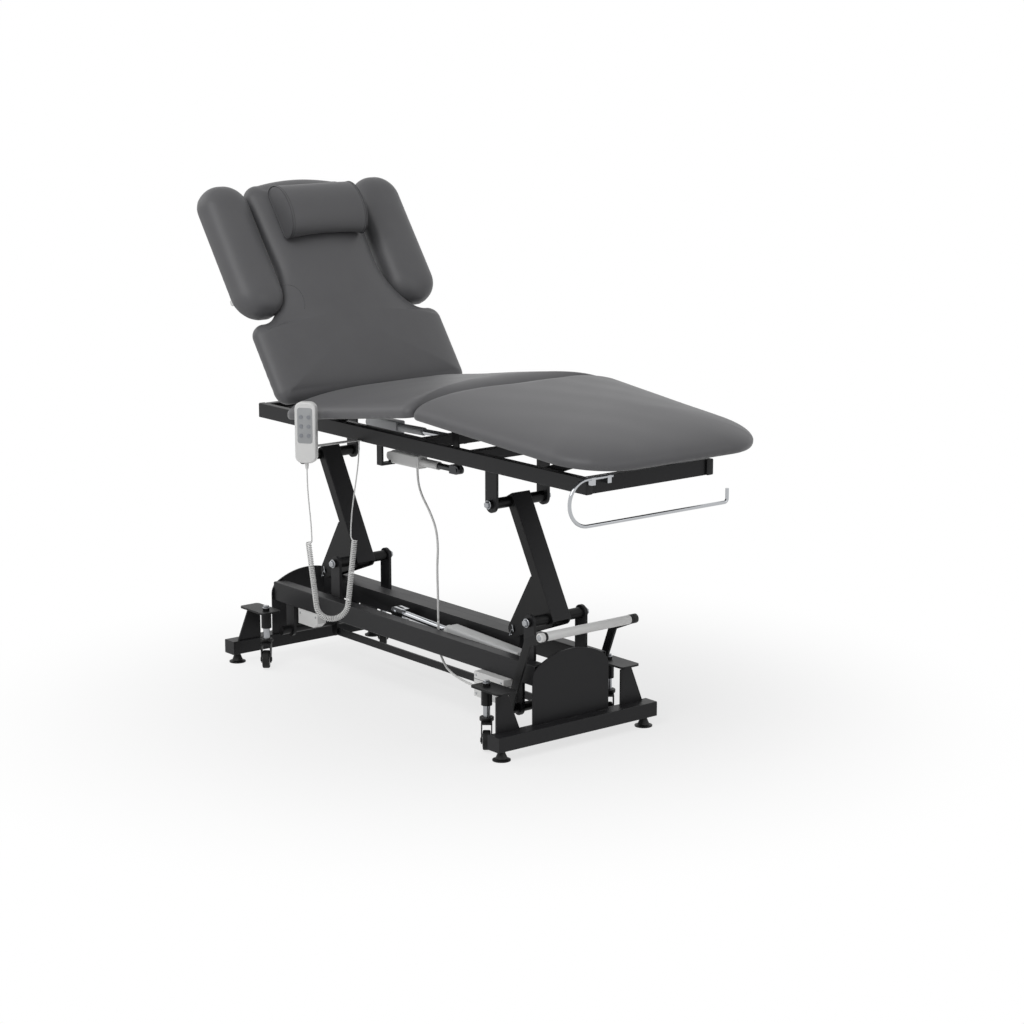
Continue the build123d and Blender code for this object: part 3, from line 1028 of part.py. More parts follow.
# Seat frame: two rails from the hip to the knee, its ears, the knee shaft and the lever of the knee drive
seat_low_x = HIP_X + SECTION_FRAME_WIDE
knee_ear_r = BOARD_Z - SIDE_GAP - KNEE_FLAT_Z
seat_ear_y = HIP_STUB_Y + EDGE, HIP_STUB_Y + EDGE + EAR_THICK
leg_ear_y = rail_out + SIDE_GAP, rail_out + SIDE_GAP + EAR_THICK
seat_frame = frame_block(seat_low_x, seat_low_x + SECTION_FRAME_WIDE, -seat_ear_y[1], seat_ear_y[1])
seat_frame += frame_block(KNEE_EYE_FLAT_X - SECTION_FRAME_WIDE / 2, KNEE_EYE_FLAT_X + SECTION_FRAME_WIDE / 2,
                          -rail_out, rail_out)
knee_end = leg_ear_y[1] + SIDE_GAP
seat_frame += cylinder_y(KNEE_FLAT_X, KNEE_FLAT_Z, KNEE_SHAFT_R, -knee_end, knee_end)
for side in (1, -1):
    seat_frame += frame_block(seat_low_x, KNEE_FLAT_X, side * rail_in, side * rail_out)
    seat_frame += cylinder_y(KNEE_FLAT_X, KNEE_FLAT_Z, knee_ear_r, side * rail_in, side * rail_out)
    seat_frame += cylinder_y(KNEE_FLAT_X, KNEE_FLAT_Z, KNEE_SHAFT_R + EDGE, side * knee_end,
                             side * (knee_end + EDGE))
    ear = slab(strap(HIP_X, HIP_Z, seat_low_x + HIP_EAR_R, BOARD_Z - HIP_EAR_R - SIDE_GAP, HIP_EAR_R),
               *sorted((side * seat_ear_y[0], side * seat_ear_y[1])))
    seat_frame += ear - cylinder_y(HIP_X, HIP_Z, HIP_SHAFT_R + RUNNING_FIT, side * rail_out, side * rail_inner_y)
knee_lever = slab(strap(KNEE_EYE_FLAT_X, KNEE_EYE_FLAT_Z, KNEE_EYE_FLAT_X, frame_top - MOTOR_EYE_R - SIDE_GAP,
                        MOTOR_EYE_R), KNEE_DRIVE_Y - MOTOR_LUG_THICK / 2, KNEE_DRIVE_Y + MOTOR_LUG_THICK / 2)
seat_frame += knee_lever
export("seat_frame", place_seat(seat_frame))

# Leg frame: two rails from the knee, its ears and the lugs of the swing links
leg_low_x = KNEE_FLAT_X + SECTION_FRAME_WIDE
leg_end_x = SWING_PIN_FLAT_X + SECTION_FRAME_WIDE
leg_frame = frame_block(leg_low_x, leg_low_x + SECTION_FRAME_WIDE, -leg_ear_y[1], leg_ear_y[1])
leg_frame += frame_block(leg_end_x - SECTION_FRAME_WIDE, leg_end_x, -rail_out, rail_out)
swing_inner = SWING_Y - SWING_THICK / 2
lug_y = swing_inner - EDGE - EAR_THICK, swing_inner - EDGE
swing_eye_r = SWING_PIN_R + SWING_PIN_PLAY + EDGE
for side in (1, -1):
    leg_frame += frame_block(leg_low_x, leg_end_x, side * rail_in, side * rail_out)
    ear = slab(strap(KNEE_FLAT_X, KNEE_FLAT_Z, leg_low_x + knee_ear_r, KNEE_FLAT_Z, knee_ear_r),
               *sorted((side * leg_ear_y[0], side * leg_ear_y[1])))
    leg_frame += ear - cylinder_y(KNEE_FLAT_X, KNEE_FLAT_Z, KNEE_SHAFT_R + RUNNING_FIT, side * rail_in,
                                  side * rail_inner_y)
    lug = slab(strap(SWING_PIN_FLAT_X, SWING_PIN_FLAT_Z, SWING_PIN_FLAT_X, frame_top - swing_eye_r - SIDE_GAP,
                     swing_eye_r), *sorted((side * lug_y[0], side * lug_y[1])))
    lug += frame_block(SWING_PIN_FLAT_X - swing_eye_r, SWING_PIN_FLAT_X + swing_eye_r, side * rail_in,
                       side * lug_y[1])
    leg_frame += lug - cylinder_y(SWING_PIN_FLAT_X, SWING_PIN_FLAT_Z, SWING_PIN_R + SWING_PIN_PLAY,
                                  side * rail_in, side * rail_inner_y)
export("leg_frame", place_leg(leg_frame))

# Swing links: a pair of straps from the rail frame to the lugs, tied by nothing but the two sections
pin_x = SWING_PIN_FLAT_X + knee_x - KNEE_FLAT_X
pin_z = SWING_PIN_FLAT_Z + knee_z - KNEE_FLAT_Z
swing_x, swing_z = turned(pin_x, pin_z, -LEG_SLOPE, knee_x, knee_z)
links = []
for side in (1, -1):
    y0, y1 = sorted((side * swing_inner, side * (swing_inner + SWING_THICK)))
    link = slab(strap(LINK_PIVOT_X, LINK_PIVOT_Z, swing_x, swing_z, SWING_WIDE), y0, y1)
    link -= cylinder_y(LINK_PIVOT_X, LINK_PIVOT_Z, SWING_PIN_R + RUNNING_FIT, y0 - OVERRUN, y1 + OVERRUN)
    link += cylinder_y(swing_x, swing_z, SWING_PIN_R, side * lug_y[0], side * (swing_inner + SWING_THICK))
    links.append(link)
export("leg_link", *links)

# Back drive, hung on the back's lever and pushing against the cross tube, and the knee drive
motor = {
    "half_wide": MOTOR_HALF_WIDE, "pin_r": MOTOR_PIN_R, "eye_r": MOTOR_EYE_R, "lug_thick": MOTOR_LUG_THICK,
    "body_from": MOTOR_EYE_R + OPEN_FIT + MOTOR_EYE_R / 2, "body_tall": MOTOR_TALL, "tube_r": MOTOR_TUBE_R,
    "rod_r": MOTOR_ROD_R, "fork_back": 2 * MOTOR_EYE_R,
}
back_eye_x, back_eye_z = turned(lever_x, lever_z, -BACK_TILT, BACK_PIVOT_X, BACK_PIVOT_Z)
back_long = hypot(BACK_DRIVE_REAR_X - back_eye_x, BACK_DRIVE_REAR_Z - back_eye_z)
back_sizes = dict(motor, body_long=MOTOR_LONG, tube_to=BACK_TUBE_LONG, draw_in=BACK_DRAW_IN,
                  rod_long=back_long - BACK_TUBE_LONG + MOTOR_ROD_INSIDE)
back_housing, back_rod = drive(BACK_DRIVE_REAR_X, BACK_DRIVE_REAR_Z, back_eye_x, back_eye_z, BACK_DRIVE_Y,
                               back_sizes)
export("back_motor_housing", back_housing)
export("back_motor_rod", back_rod)
knee_eye_x, knee_eye_z = turned(KNEE_EYE_FLAT_X, KNEE_EYE_FLAT_Z, SEAT_TILT, HIP_X, HIP_Z)
knee_long = hypot(knee_eye_x - KNEE_DRIVE_FOOT_X, knee_eye_z - KNEE_DRIVE_FOOT_Z)
knee_sizes = dict(motor, body_long=MOTOR_LONG, tube_to=KNEE_TUBE_LONG, draw_in=KNEE_DRAW_IN,
                  rod_long=knee_long - KNEE_TUBE_LONG + MOTOR_ROD_INSIDE)
knee_housing, knee_rod = drive(knee_eye_x, knee_eye_z, KNEE_DRIVE_FOOT_X, KNEE_DRIVE_FOOT_Z, KNEE_DRIVE_Y,
                               knee_sizes)
export("knee_motor_housing", knee_housing)
export("knee_motor_rod", knee_rod)

# Handset with its hanger, and its six buttons
hand_place = Pos(HANDSET_X, HANDSET_Y, HANDSET_BOTTOM_Z) * Rot(0, 0, HANDSET_TURN)
hand = Pos(0, 0, HANDSET_TALL / 2) * Rot(90, 0, 0) * extrude(
    RectangleRounded(HANDSET_WIDE, HANDSET_TALL, HANDSET_WIDE * HANDSET_CORNER_SHARE), HANDSET_THICK / 2, both=True)
hand = fillet(hand.edges().group_by(Axis.Y)[0] + hand.edges().group_by(Axis.Y)[-1], HANDSET_THICK * HANDSET_EDGE_SHARE)
face_y = -HANDSET_THICK / 2
button_at = []
for row in range(3):
    for column in (-1, 1):
        button_at.append((column * BUTTON_PITCH_X / 2, HANDSET_TALL - BUTTON_TOP_DROP - row * BUTTON_PITCH_Z))
for x, z in button_at:
    hand -= cylinder_y(x, z, BUTTON_R + BUTTON_FIT, face_y - OVERRUN, face_y + 2 * BUTTON_SINK)
relief = Pos(0, 0, -RELIEF_LONG / 2) * Cone(RELIEF_R * RELIEF_TIP_SHARE, RELIEF_R, RELIEF_LONG)
hanger = block(HANDSET_X - HANGER_STRIP / 2, HANDSET_X + HANGER_STRIP / 2, HANDSET_Y, -RAIL_OUTER_Y,
               rail_bottom + EDGE, rail_bottom + 2 * EDGE)
export("handset", hand_place * (hand + relief) + hanger)
for number, (x, z) in enumerate(button_at, 1):
    button = cylinder_y(x, z, BUTTON_R, face_y - BUTTON_RISE, face_y + BUTTON_SINK)
    export(f"button_{number}", hand_place * button)


# Cords: each is a line of straight runs and tangent arcs, swept with one section
def rounded_path(points):
    """Straight runs with a tangent arc at each corner, 0.45 of the shorter run deep."""
    share = 0.45
    radii = []
    for i in range(1, len(points) - 1):
        before = Vector(*points[i]) - Vector(*points[i - 1])
        after = Vector(*points[i + 1]) - Vector(*points[i])
        half_turn = radians(before.get_angle(after)) / 2
        radii.append(share * min(before.length, after.length) / tan(half_turn))
    return FilletPolyline(*points, radius=radii), radii


def swept(section, path):
    """One tube along a path, with its section square to the path's start."""
    plane = Plane(origin=path @ 0, z_dir=path % 0)
    return sweep(plane * section, path=path)


relief_end = hand_place * Pos(0, 0, -RELIEF_LONG)
lead_top = relief_end.position
coil_from = Vector(COIL_FROM_X, COIL_FROM_Y, COIL_TOP_Z)
across = Vector(COIL_TO_X - COIL_FROM_X, COIL_TO_Y - COIL_FROM_Y, 0)
coil_span = across.length
across = across.normalized()
up = Vector(0, 0, 1)
side_on = across.cross(up)
bend_h = coil_span / 2
bend_z = COIL_BEND_R - COIL_DROP
reach = hypot(bend_h, bend_z)
slant = pi / 2 - atan2(-bend_z, bend_h) - atan2(COIL_BEND_R, (reach ** 2 - COIL_BEND_R ** 2) ** 0.5)
straight = (reach ** 2 - COIL_BEND_R ** 2) ** 0.5
sweep_angle = pi - 2 * slant
coil_long = 2 * straight + COIL_BEND_R * sweep_angle


def coil_centre(along):
    """A place on the hanging U, and the direction of the U there, in the U's own plane."""
    if along < straight:
        return along * sin(slant), -along * cos(slant), sin(slant), -cos(slant)
    if along > straight + COIL_BEND_R * sweep_angle:
        left = coil_long - along
        return coil_span - left * sin(slant), -left * cos(slant), sin(slant), cos(slant)
    a = slant + (along - straight) / COIL_BEND_R
    return bend_h - COIL_BEND_R * cos(a), bend_z - COIL_BEND_R * sin(a), sin(a), -cos(a)


def coil_point(turn):
    """A place on the wire after a number of turns."""
    h, z, dh, dz = coil_centre(coil_long * turn / COIL_CURLS)
    angle = 2 * pi * turn + pi / 2
    n = COIL_R * cos(angle)
    b = COIL_R * sin(angle)
    flat = coil_from + across * (h - b * dz) + up * (z + b * dh)
    return flat + side_on * n


def coil_heading(turn):
    """The wire's direction after a number of turns."""
    low = max(turn - CURL_STEP_SHARE, 0)
    high = min(turn + CURL_STEP_SHARE, COIL_CURLS)
    return (coil_point(high) - coil_point(low)).normalized()


def biarc(p0, t0, p1, t1):
    """Two arcs that leave p0 along t0 and reach p1 along t1."""
    v = p1 - p0
    total = t0 + t1
    a = 2 * (1 - t0.dot(t1))
    b = 2 * v.dot(total)
    d = (-b + (b * b + 4 * a * v.dot(v)) ** 0.5) / (2 * a)
    joint = (p0 + t0 * d + p1 - t1 * d) * 0.5
    first = Edge.make_tangent_arc(p0, t0, joint)
    return first, Edge.make_tangent_arc(joint, first % 1, p1)


start_heading = coil_heading(0)
end_heading = coil_heading(COIL_CURLS)
turn_in = coil_point(0) - start_heading * LEAD_TURN
turn_out = coil_point(COIL_CURLS) + end_heading * LEAD_TURN
lead_low = [(lead_top.X, lead_top.Y, lead_top.Z)]
shares_down = ((0.0, 0.2), (0.35, 0.47), (0.8, 0.74), (1.0, 1.0))
for drift, drop in shares_down:
    lead_low.append(tuple(lead_low[0][i] + (tuple(turn_in)[i] - lead_low[0][i]) * (drop if i == 2 else drift)
                          for i in range(3)))
lead_low.append(tuple(coil_point(0)))
rail_hole = (LEAD_END_X, -RAIL_OUTER_Y + RAIL_WIDE / 2, rail_bottom - CABLE_END_GAP)
lead_high = [tuple(coil_point(COIL_CURLS))]
shares_up = ((0.0, 0.0), (0.1, 0.19), (0.35, 0.4), (0.7, 0.62), (0.95, 0.82), (1.0, 1.0))
for drift, rise in shares_up:
    lead_high.append(tuple(tuple(turn_out)[i] + (rail_hole[i] - tuple(turn_out)[i]) * (rise if i == 2 else drift)
                           for i in range(3)))
down_path, down_radii = rounded_path(lead_low)
up_path, up_radii = rounded_path(lead_high)
edges = list(down_path.edges())
half_turns = 2 * COIL_CURLS
for i in range(half_turns):
    edges.extend(biarc(coil_point(i / 2), coil_heading(i / 2), coil_point((i + 1) / 2), coil_heading((i + 1) / 2)))
edges.extend(up_path.edges())
cord_path = Wire(edges)
cuts = [len(edges) * i // CORD_SWEEPS for i in range(CORD_SWEEPS + 1)]
cord = swept(RegularPolygon(CORD_R, COIL_SIDES), Wire(edges[:cuts[1]]))
for i in range(1, CORD_SWEEPS):
    cord += swept(RegularPolygon(CORD_R, COIL_SIDES), Wire(edges[cuts[i]:cuts[i + 1]]))
export("handset_cord", cord)
places = [coil_point(i / SAMPLES_A_CURL) for i in range(COIL_CURLS * SAMPLES_A_CURL)]
least = min((places[i] - places[j]).length for i in range(len(places))
            for j in range(i + SAMPLES_A_CURL * 2 // 3, min(i + SAMPLES_A_CURL * 4 // 3, len(places))))
print(f"coil: {COIL_CURLS} curls, least gap {least - 2 * CORD_R:.2f}, lead radii "
      f"{min(down_radii):.1f} {min(up_radii):.1f}")
hexagon = CORD_R ** 2 * 6 / 2 * sin(radians(60))
print(f"cord volume {cord.volume:.0f}, section by length {hexagon * cord_path.length:.0f}")

cable_from = (CABLE_FROM_X, KNEE_DRIVE_Y, KNEE_DRIVE_FOOT_Z + (CABLE_FROM_X - KNEE_DRIVE_FOOT_X)
              * (knee_eye_z - KNEE_DRIVE_FOOT_Z) / (knee_eye_x - KNEE_DRIVE_FOOT_X) - MOTOR_TALL / 2 - CABLE_END_GAP)
for name, points in (("motor_cable", [cable_from, *CABLE_POINTS, CABLE_CLIP]),
                     ("box_cable", [CABLE_CLIP, *BOX_CABLE_POINTS, (box_rear_x, *CABLE_END)])):
    cable_path, cable_radii = rounded_path(points)
    cable = swept(Circle(CABLE_R), cable_path)
    export(name, cable)
    print(f"{name} radii {min(cable_radii):.1f}, volume {cable.volume:.0f}, by length "
          f"{pi * CABLE_R ** 2 * cable_path.length:.0f}")

# Places of the joints in the finished frame
for name, x, z in (("front leg foot", LEG_FRONT_X, LEG_PIVOT_Z), ("front leg top", front_top_x, leg_top_z),
                   ("rear leg foot", LEG_FRONT_X - LEG_SPACING, LEG_PIVOT_Z), ("tie front", tie_front_x, tie_z),
                   ("drive rear", DRIVE_REAR_X, DRIVE_REAR_Z), ("drive eye", DRIVE_EYE_X, DRIVE_EYE_Z),
                   ("hip", HIP_X, HIP_Z), ("back pivot", BACK_PIVOT_X, BACK_PIVOT_Z), ("knee", knee_x, knee_z),
                   ("back drive rear", back_eye_x, back_eye_z),
                   ("back drive eye", BACK_DRIVE_REAR_X, BACK_DRIVE_REAR_Z),
                   ("knee drive foot", KNEE_DRIVE_FOOT_X, KNEE_DRIVE_FOOT_Z),
                   ("knee drive eye", knee_eye_x, knee_eye_z), ("swing foot", LINK_PIVOT_X, LINK_PIVOT_Z),
                   ("swing top", swing_x, swing_z), ("pedal shaft", PEDAL_SHAFT_X, PEDAL_SHAFT_Z)):
    print(f"{name}: {x + BASE_MIDDLE_X:.3f} {z:.3f}")
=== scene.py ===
# %% [markdown]
# # An electric massage table
# The table is a black powder-coated lifting base, a rail frame and three grey upholstered sections. The
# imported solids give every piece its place. This file dresses them: it gives each metal and plastic its real
# finish, and replaces each cushion, the pillow and each cord by a surface that is worked out from a formula.
# The arm pads' solids stay, since their clamp bars are seen, and their covers go over them.

# %% Load the frame
import json
import math
import bmesh
import bpy
import numpy as np
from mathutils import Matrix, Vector


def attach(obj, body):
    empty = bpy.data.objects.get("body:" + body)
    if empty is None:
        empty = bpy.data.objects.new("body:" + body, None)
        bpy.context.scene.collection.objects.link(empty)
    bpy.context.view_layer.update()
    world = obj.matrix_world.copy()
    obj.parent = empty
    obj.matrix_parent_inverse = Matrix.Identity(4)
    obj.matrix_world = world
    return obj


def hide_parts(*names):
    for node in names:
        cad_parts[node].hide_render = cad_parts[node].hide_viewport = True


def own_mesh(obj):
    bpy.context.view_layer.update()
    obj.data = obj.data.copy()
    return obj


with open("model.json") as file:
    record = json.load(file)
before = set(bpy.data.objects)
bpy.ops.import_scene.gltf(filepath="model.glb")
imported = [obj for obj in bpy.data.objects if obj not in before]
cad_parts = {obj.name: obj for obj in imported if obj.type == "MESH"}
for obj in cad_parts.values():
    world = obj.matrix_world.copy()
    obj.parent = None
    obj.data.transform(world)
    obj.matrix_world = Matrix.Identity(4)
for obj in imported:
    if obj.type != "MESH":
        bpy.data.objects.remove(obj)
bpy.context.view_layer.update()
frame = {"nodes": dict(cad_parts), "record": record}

# %% [markdown]
# ## The camera and the light
# The camera stands where the photograph was taken from, low and far to the right of the foot end, with a long
# lens. The room is a pale studio: a white world seen only as a background, and three broad soft lamps.

# %% Camera
MIDDLE_X = -0.1768  # the base's middle in the row frame, in metres
EYE = (5.3296, -4.0373, 1.9124)  # from the floor below the base's middle, in metres
YAW = math.radians(51.0)
PITCH = math.radians(11.97)
LENS, SENSOR = 90.59, 36.0  # in millimetres
FARTHEST = 60.0  # in metres
looking = Vector((-math.sin(YAW) * math.cos(PITCH), math.cos(YAW) * math.cos(PITCH), -math.sin(PITCH)))
camera_data = bpy.data.cameras.new("camera")
camera_data.lens = LENS
camera_data.sensor_width = SENSOR
camera_data.clip_end = FARTHEST
camera = bpy.data.objects.new("camera", camera_data)
camera.location = (EYE[0] + MIDDLE_X, EYE[1], EYE[2])
camera.rotation_mode = "QUATERNION"
camera.rotation_quaternion = looking.to_track_quat("-Z", "Y")
bpy.context.scene.collection.objects.link(camera)
bpy.context.scene.camera = camera


# %% Colours and nodes
def linear(hex_colour):
    """An sRGB hex colour as linear red, green, blue and a full alpha."""
    values = [int(hex_colour[i:i + 2], 16) / 255 for i in (0, 2, 4)]
    return [v / 12.92 if v <= 0.04045 else ((v + 0.055) / 1.055) ** 2.4 for v in values] + [1.0]


def add(material, kind, inputs=None, **settings):
    """Adds one node. Settings are its own properties; inputs are numbers, or sockets to link."""
    node = material.node_tree.nodes.new(kind)
    for name, value in settings.items():
        setattr(node, name, value)
    for name, value in (inputs or {}).items():
        if isinstance(value, bpy.types.NodeSocket):
            material.node_tree.links.new(value, node.inputs[name])
        else:
            node.inputs[name].default_value = value
    return node


def start(name):
    """A new material with no nodes but its output, and that output."""
    material = bpy.data.materials.new(name)
    material.use_nodes = True
    material.node_tree.nodes.clear()
    return material, add(material, "ShaderNodeOutputMaterial")


# %% Floor, world and lamps
scene = bpy.context.scene
scene.view_settings.view_transform = "Standard"
LEVEL = 0.30  # the world's light on the object; as a background it is plain white
FLOOR_HALF = 14.0  # in metres
WHITE_FROM, WHITE_TO = 0.3, 1.5  # metres from the middle, between which the floor turns to plain white
LEAST_WHITE = 0.7  # the share of plain white at the middle
LAMPS_AIM = (-0.1, 0.0, 0.8)
LAMPS = (  # name, place and size in metres, power in watts
    ("key", (1.2, -3.6, 4.2), 3.0, 96.0),
    ("fill", (3.4, 1.2, 2.6), 2.4, 13.0),
    ("head", (-3.0, -1.8, 3.4), 2.4, 22.0),
)


def shown_directly(material):
    """One where a ray of the camera, of a mirror or of clear plastic meets the surface, else nought."""
    ray = add(material, "ShaderNodeLightPath")
    first = add(material, "ShaderNodeMath",
                {0: ray.outputs["Is Camera Ray"], 1: ray.outputs["Is Glossy Ray"]}, operation="MAXIMUM")
    return add(material, "ShaderNodeMath", {0: first.outputs[0], 1: ray.outputs["Is Transmission Ray"]},
               operation="MAXIMUM").outputs[0]


world = bpy.data.worlds.new("studio")
world.use_nodes = True
world.node_tree.nodes.clear()
scene.world = world
strength = add(world, "ShaderNodeMapRange", {"Value": shown_directly(world), "To Min": LEVEL, "To Max": 1.0})
light = add(world, "ShaderNodeBackground", {"Color": (1, 1, 1, 1), "Strength": strength.outputs[0]})
add(world, "ShaderNodeOutputWorld", {"Surface": light.outputs[0]})

floor_paint, floor_out = start("studio_floor")
matt = add(floor_paint, "ShaderNodeBsdfDiffuse", {"Color": linear("fbfbfb")})
glow = add(floor_paint, "ShaderNodeEmission", {"Color": (1, 1, 1, 1), "Strength": 1.0})
# Far from the table the floor turns to plain white, so that no horizon shows; near it, it keeps the shadow
spot = add(floor_paint, "ShaderNodeTexCoord").outputs["Object"]
away = add(floor_paint, "ShaderNodeVectorMath", {0: spot}, operation="LENGTH").outputs["Value"]
fade = add(floor_paint, "ShaderNodeMapRange",
           {"Value": away, "From Min": WHITE_FROM, "From Max": WHITE_TO, "To Min": LEAST_WHITE,
            "To Max": 1.0}, interpolation_type="SMOOTHSTEP")
share = add(floor_paint, "ShaderNodeMath", {0: shown_directly(floor_paint), 1: fade.outputs[0]},
            operation="MULTIPLY")
both = add(floor_paint, "ShaderNodeMixShader", {0: share.outputs[0], 1: matt.outputs[0], 2: glow.outputs[0]})
floor_paint.node_tree.links.new(both.outputs[0], floor_out.inputs["Surface"])
floor_mesh = bpy.data.meshes.new("floor")
floor_corners = [(x * FLOOR_HALF, y * FLOOR_HALF, 0) for x, y in ((-1, -1), (1, -1), (1, 1), (-1, 1))]
floor_mesh.from_pydata(floor_corners, [], [(0, 1, 2, 3)])
floor_mesh.materials.append(floor_paint)
floor = bpy.data.objects.new("floor", floor_mesh)
scene.collection.objects.link(floor)

for name, place, size, power in LAMPS:
    lamp_data = bpy.data.lights.new(name, "AREA")
    lamp_data.size = size
    lamp_data.energy = power
    lamp = bpy.data.objects.new(name, lamp_data)
    lamp.location = place
    lamp.rotation_mode = "QUATERNION"
    lamp.rotation_quaternion = (Vector(LAMPS_AIM) - Vector(place)).to_track_quat("-Z", "Y")
    scene.collection.objects.link(lamp)


# %% [markdown]
# ## Finishes
# Each finish is named for what the real one is, and where its colour is painted shade, its comment says so.
# Patterns are sized in millimetres on the object's own coordinates, so that they stay put in every view.
# Where the real grain is too fine for the picture it is drawn a little coarser, and the comment says so.

# %% Finish helpers
GLOSS_SWING = 0.12  # the share by which a finish's roughness changes, either way
WORN_FROM, WORN_FULL = 0.53, 0.6  # the pointedness at which paint starts to wear, and is most worn
WORN_SHARE = 0.6
GRAIN_STRENGTH = 0.6


def per_metre(millimetres):
    """The scale of a pattern whose features are this many millimetres apart."""
    return 1000.0 / millimetres


def coat(name, colour, roughness, grain_mm, grain_depth, tone=0.0, tone_mm=60.0, metallic=0.0, wear=None,
         **shader):
    """A finish with fine bumps, a slow change of tone and, where asked, paler worn edges."""
    material, out = start(name)
    place = add(material, "ShaderNodeTexCoord").outputs["Object"]
    grain = add(material, "ShaderNodeTexNoise",
                {"Vector": place, "Scale": per_metre(grain_mm), "Detail": 3.0})
    slow = add(material, "ShaderNodeTexNoise", {"Vector": place, "Scale": per_metre(tone_mm), "Detail": 4.0})
    dark = [v * (1 - tone) for v in linear(colour)[:3]] + [1.0]
    pale = [min(v * (1 + tone), 1.0) for v in linear(colour)[:3]] + [1.0]
    tint = add(material, "ShaderNodeMix", {0: slow.outputs["Fac"], 6: dark, 7: pale}, data_type="RGBA")
    paint = tint.outputs[2]
    if wear:
        edge = add(material, "ShaderNodeNewGeometry").outputs["Pointiness"]
        sharp = add(material, "ShaderNodeMapRange",
                    {"Value": edge, "From Min": WORN_FROM, "From Max": WORN_FULL, "To Max": WORN_SHARE})
        paint = add(material, "ShaderNodeMix", {0: sharp.outputs[0], 6: paint, 7: linear(wear)},
                    data_type="RGBA").outputs[2]
    gloss = add(material, "ShaderNodeMapRange",
                {"Value": slow.outputs["Fac"], "To Min": roughness * (1 - GLOSS_SWING),
                 "To Max": roughness * (1 + GLOSS_SWING)})
    bump = add(material, "ShaderNodeBump",
               {"Height": grain.outputs["Fac"], "Distance": grain_depth / 1000, "Strength": GRAIN_STRENGTH})
    surface = add(material, "ShaderNodeBsdfPrincipled", {
        "Base Color": paint, "Roughness": gloss.outputs[0], "Metallic": metallic,
        "Normal": bump.outputs[0], **{k.replace("_", " "): v for k, v in shader.items()}})
    material.node_tree.links.new(surface.outputs[0], out.inputs["Surface"])
    return material


# Powder coat on steel tube: satin black, with the fine orange peel of baked powder (drawn at 2.5 mm)
powder_coat = coat("black_powder_coat", "0f0f10", 0.42, 2.5, 0.05, tone=0.10, tone_mm=90, wear="28282a",
                   Specular_IOR_Level=0.22)
# Zinc-plated steel bolts and shafts: bright, with the soft streaks of plating
zinc_plate = coat("zinc_plated_steel", "a3a5a8", 0.28, 6.0, 0.02, tone=0.06, metallic=1.0)
# The knee motor's rod: dark metal, its colour darkened as painted shade where it lies below the seat
rod_painted_shade = coat("rod_steel_painted_shade", "47484a", 0.38, 6.0, 0.02, tone=0.06, metallic=1.0)
# Chromed round bar: a clean mirror
chrome_bar = coat("chromed_bar", "b4b6b9", 0.12, 30.0, 0.01, tone=0.04, metallic=1.0)
# ABS housings: smooth moulded plastic with a faint sheen
white_abs = coat("white_moulded_abs", "e9e9e8", 0.34, 1.6, 0.03, tone=0.015, IOR=1.5)
grey_abs = coat("light_grey_abs", "a9abad", 0.42, 1.6, 0.04, tone=0.03, IOR=1.5)
key_rubber = coat("grey_key_rubber", "8f9298", 0.55, 1.2, 0.05, tone=0.03, IOR=1.5)
# Glass-filled nylon of the castor forks and feet: black and slightly rough
black_nylon = coat("black_nylon", "121213", 0.5, 1.8, 0.08, tone=0.08, IOR=1.53, Specular_IOR_Level=0.3)
# Soft rubber tread
black_rubber = coat("black_tread_rubber", "191919", 0.68, 1.5, 0.10, tone=0.1, IOR=1.52,
                    Specular_IOR_Level=0.3)
# PVC sheath of the cords: pale and softly shiny
pale_sheath = coat("pale_pvc_sheath", "e2e2e1", 0.36, 3.0, 0.02, tone=0.02, IOR=1.53)
# The shaded gap between a box and its lid
dark_slot = coat("dark_recess", "101010", 0.7, 2.0, 0.02, tone=0.05)
# The lift drive's housing: unpainted pale ABS, a shade darker than the white boxes
pale_abs = coat("pale_moulded_abs", "d3d4d4", 0.38, 1.6, 0.03, tone=0.02, IOR=1.5)
print("plain finishes made")

# %% [markdown]
# ### The leatherette
# The upholstery is a coated fabric, calendered smooth, stretched over foam. It shows a soft broad highlight,
# a fine pebble grain and slow changes of tone where hands and light have softened it. The real grain is under
# a millimetre; it is drawn at 2.2 mm so that it shows at all.

# %% Leatherette
PEBBLE_MM, FINE_MM, BROAD_MM = 2.2, 1.1, 70.0
leatherette, leatherette_out = start("grey_leatherette")
place = add(leatherette, "ShaderNodeTexCoord").outputs["Object"]
pebble = add(leatherette, "ShaderNodeTexVoronoi", {"Vector": place, "Scale": per_metre(PEBBLE_MM)})
fine = add(leatherette, "ShaderNodeTexNoise", {"Vector": place, "Scale": per_metre(FINE_MM), "Detail": 2.0})
broad = add(leatherette, "ShaderNodeTexNoise",
            {"Vector": place, "Scale": per_metre(BROAD_MM), "Detail": 4.0, "Roughness": 0.55})
crease = add(leatherette, "ShaderNodeMath", {0: pebble.outputs["Distance"], 1: 0.7}, operation="MULTIPLY")
skin = add(leatherette, "ShaderNodeMath", {0: crease.outputs[0], 1: fine.outputs["Fac"]}, operation="ADD")
tint = add(leatherette, "ShaderNodeMix",
           {0: broad.outputs["Fac"], 6: linear("59595b"), 7: linear("626264")}, data_type="RGBA")
sheen_of = add(leatherette, "ShaderNodeMapRange",
               {"Value": broad.outputs["Fac"], "To Min": 0.40, "To Max": 0.50})
raised = add(leatherette, "ShaderNodeBump", {"Height": skin.outputs[0], "Distance": 0.00012, "Strength": 0.5})
surface = add(leatherette, "ShaderNodeBsdfPrincipled", {
    "Base Color": tint.outputs[2], "Roughness": sheen_of.outputs[0], "IOR": 1.48, "Specular IOR Level": 0.4,
    "Sheen Weight": 0.06, "Sheen Roughness": 0.5, "Normal": raised.outputs[0]})
leatherette.node_tree.links.new(surface.outputs[0], leatherette_out.inputs["Surface"])
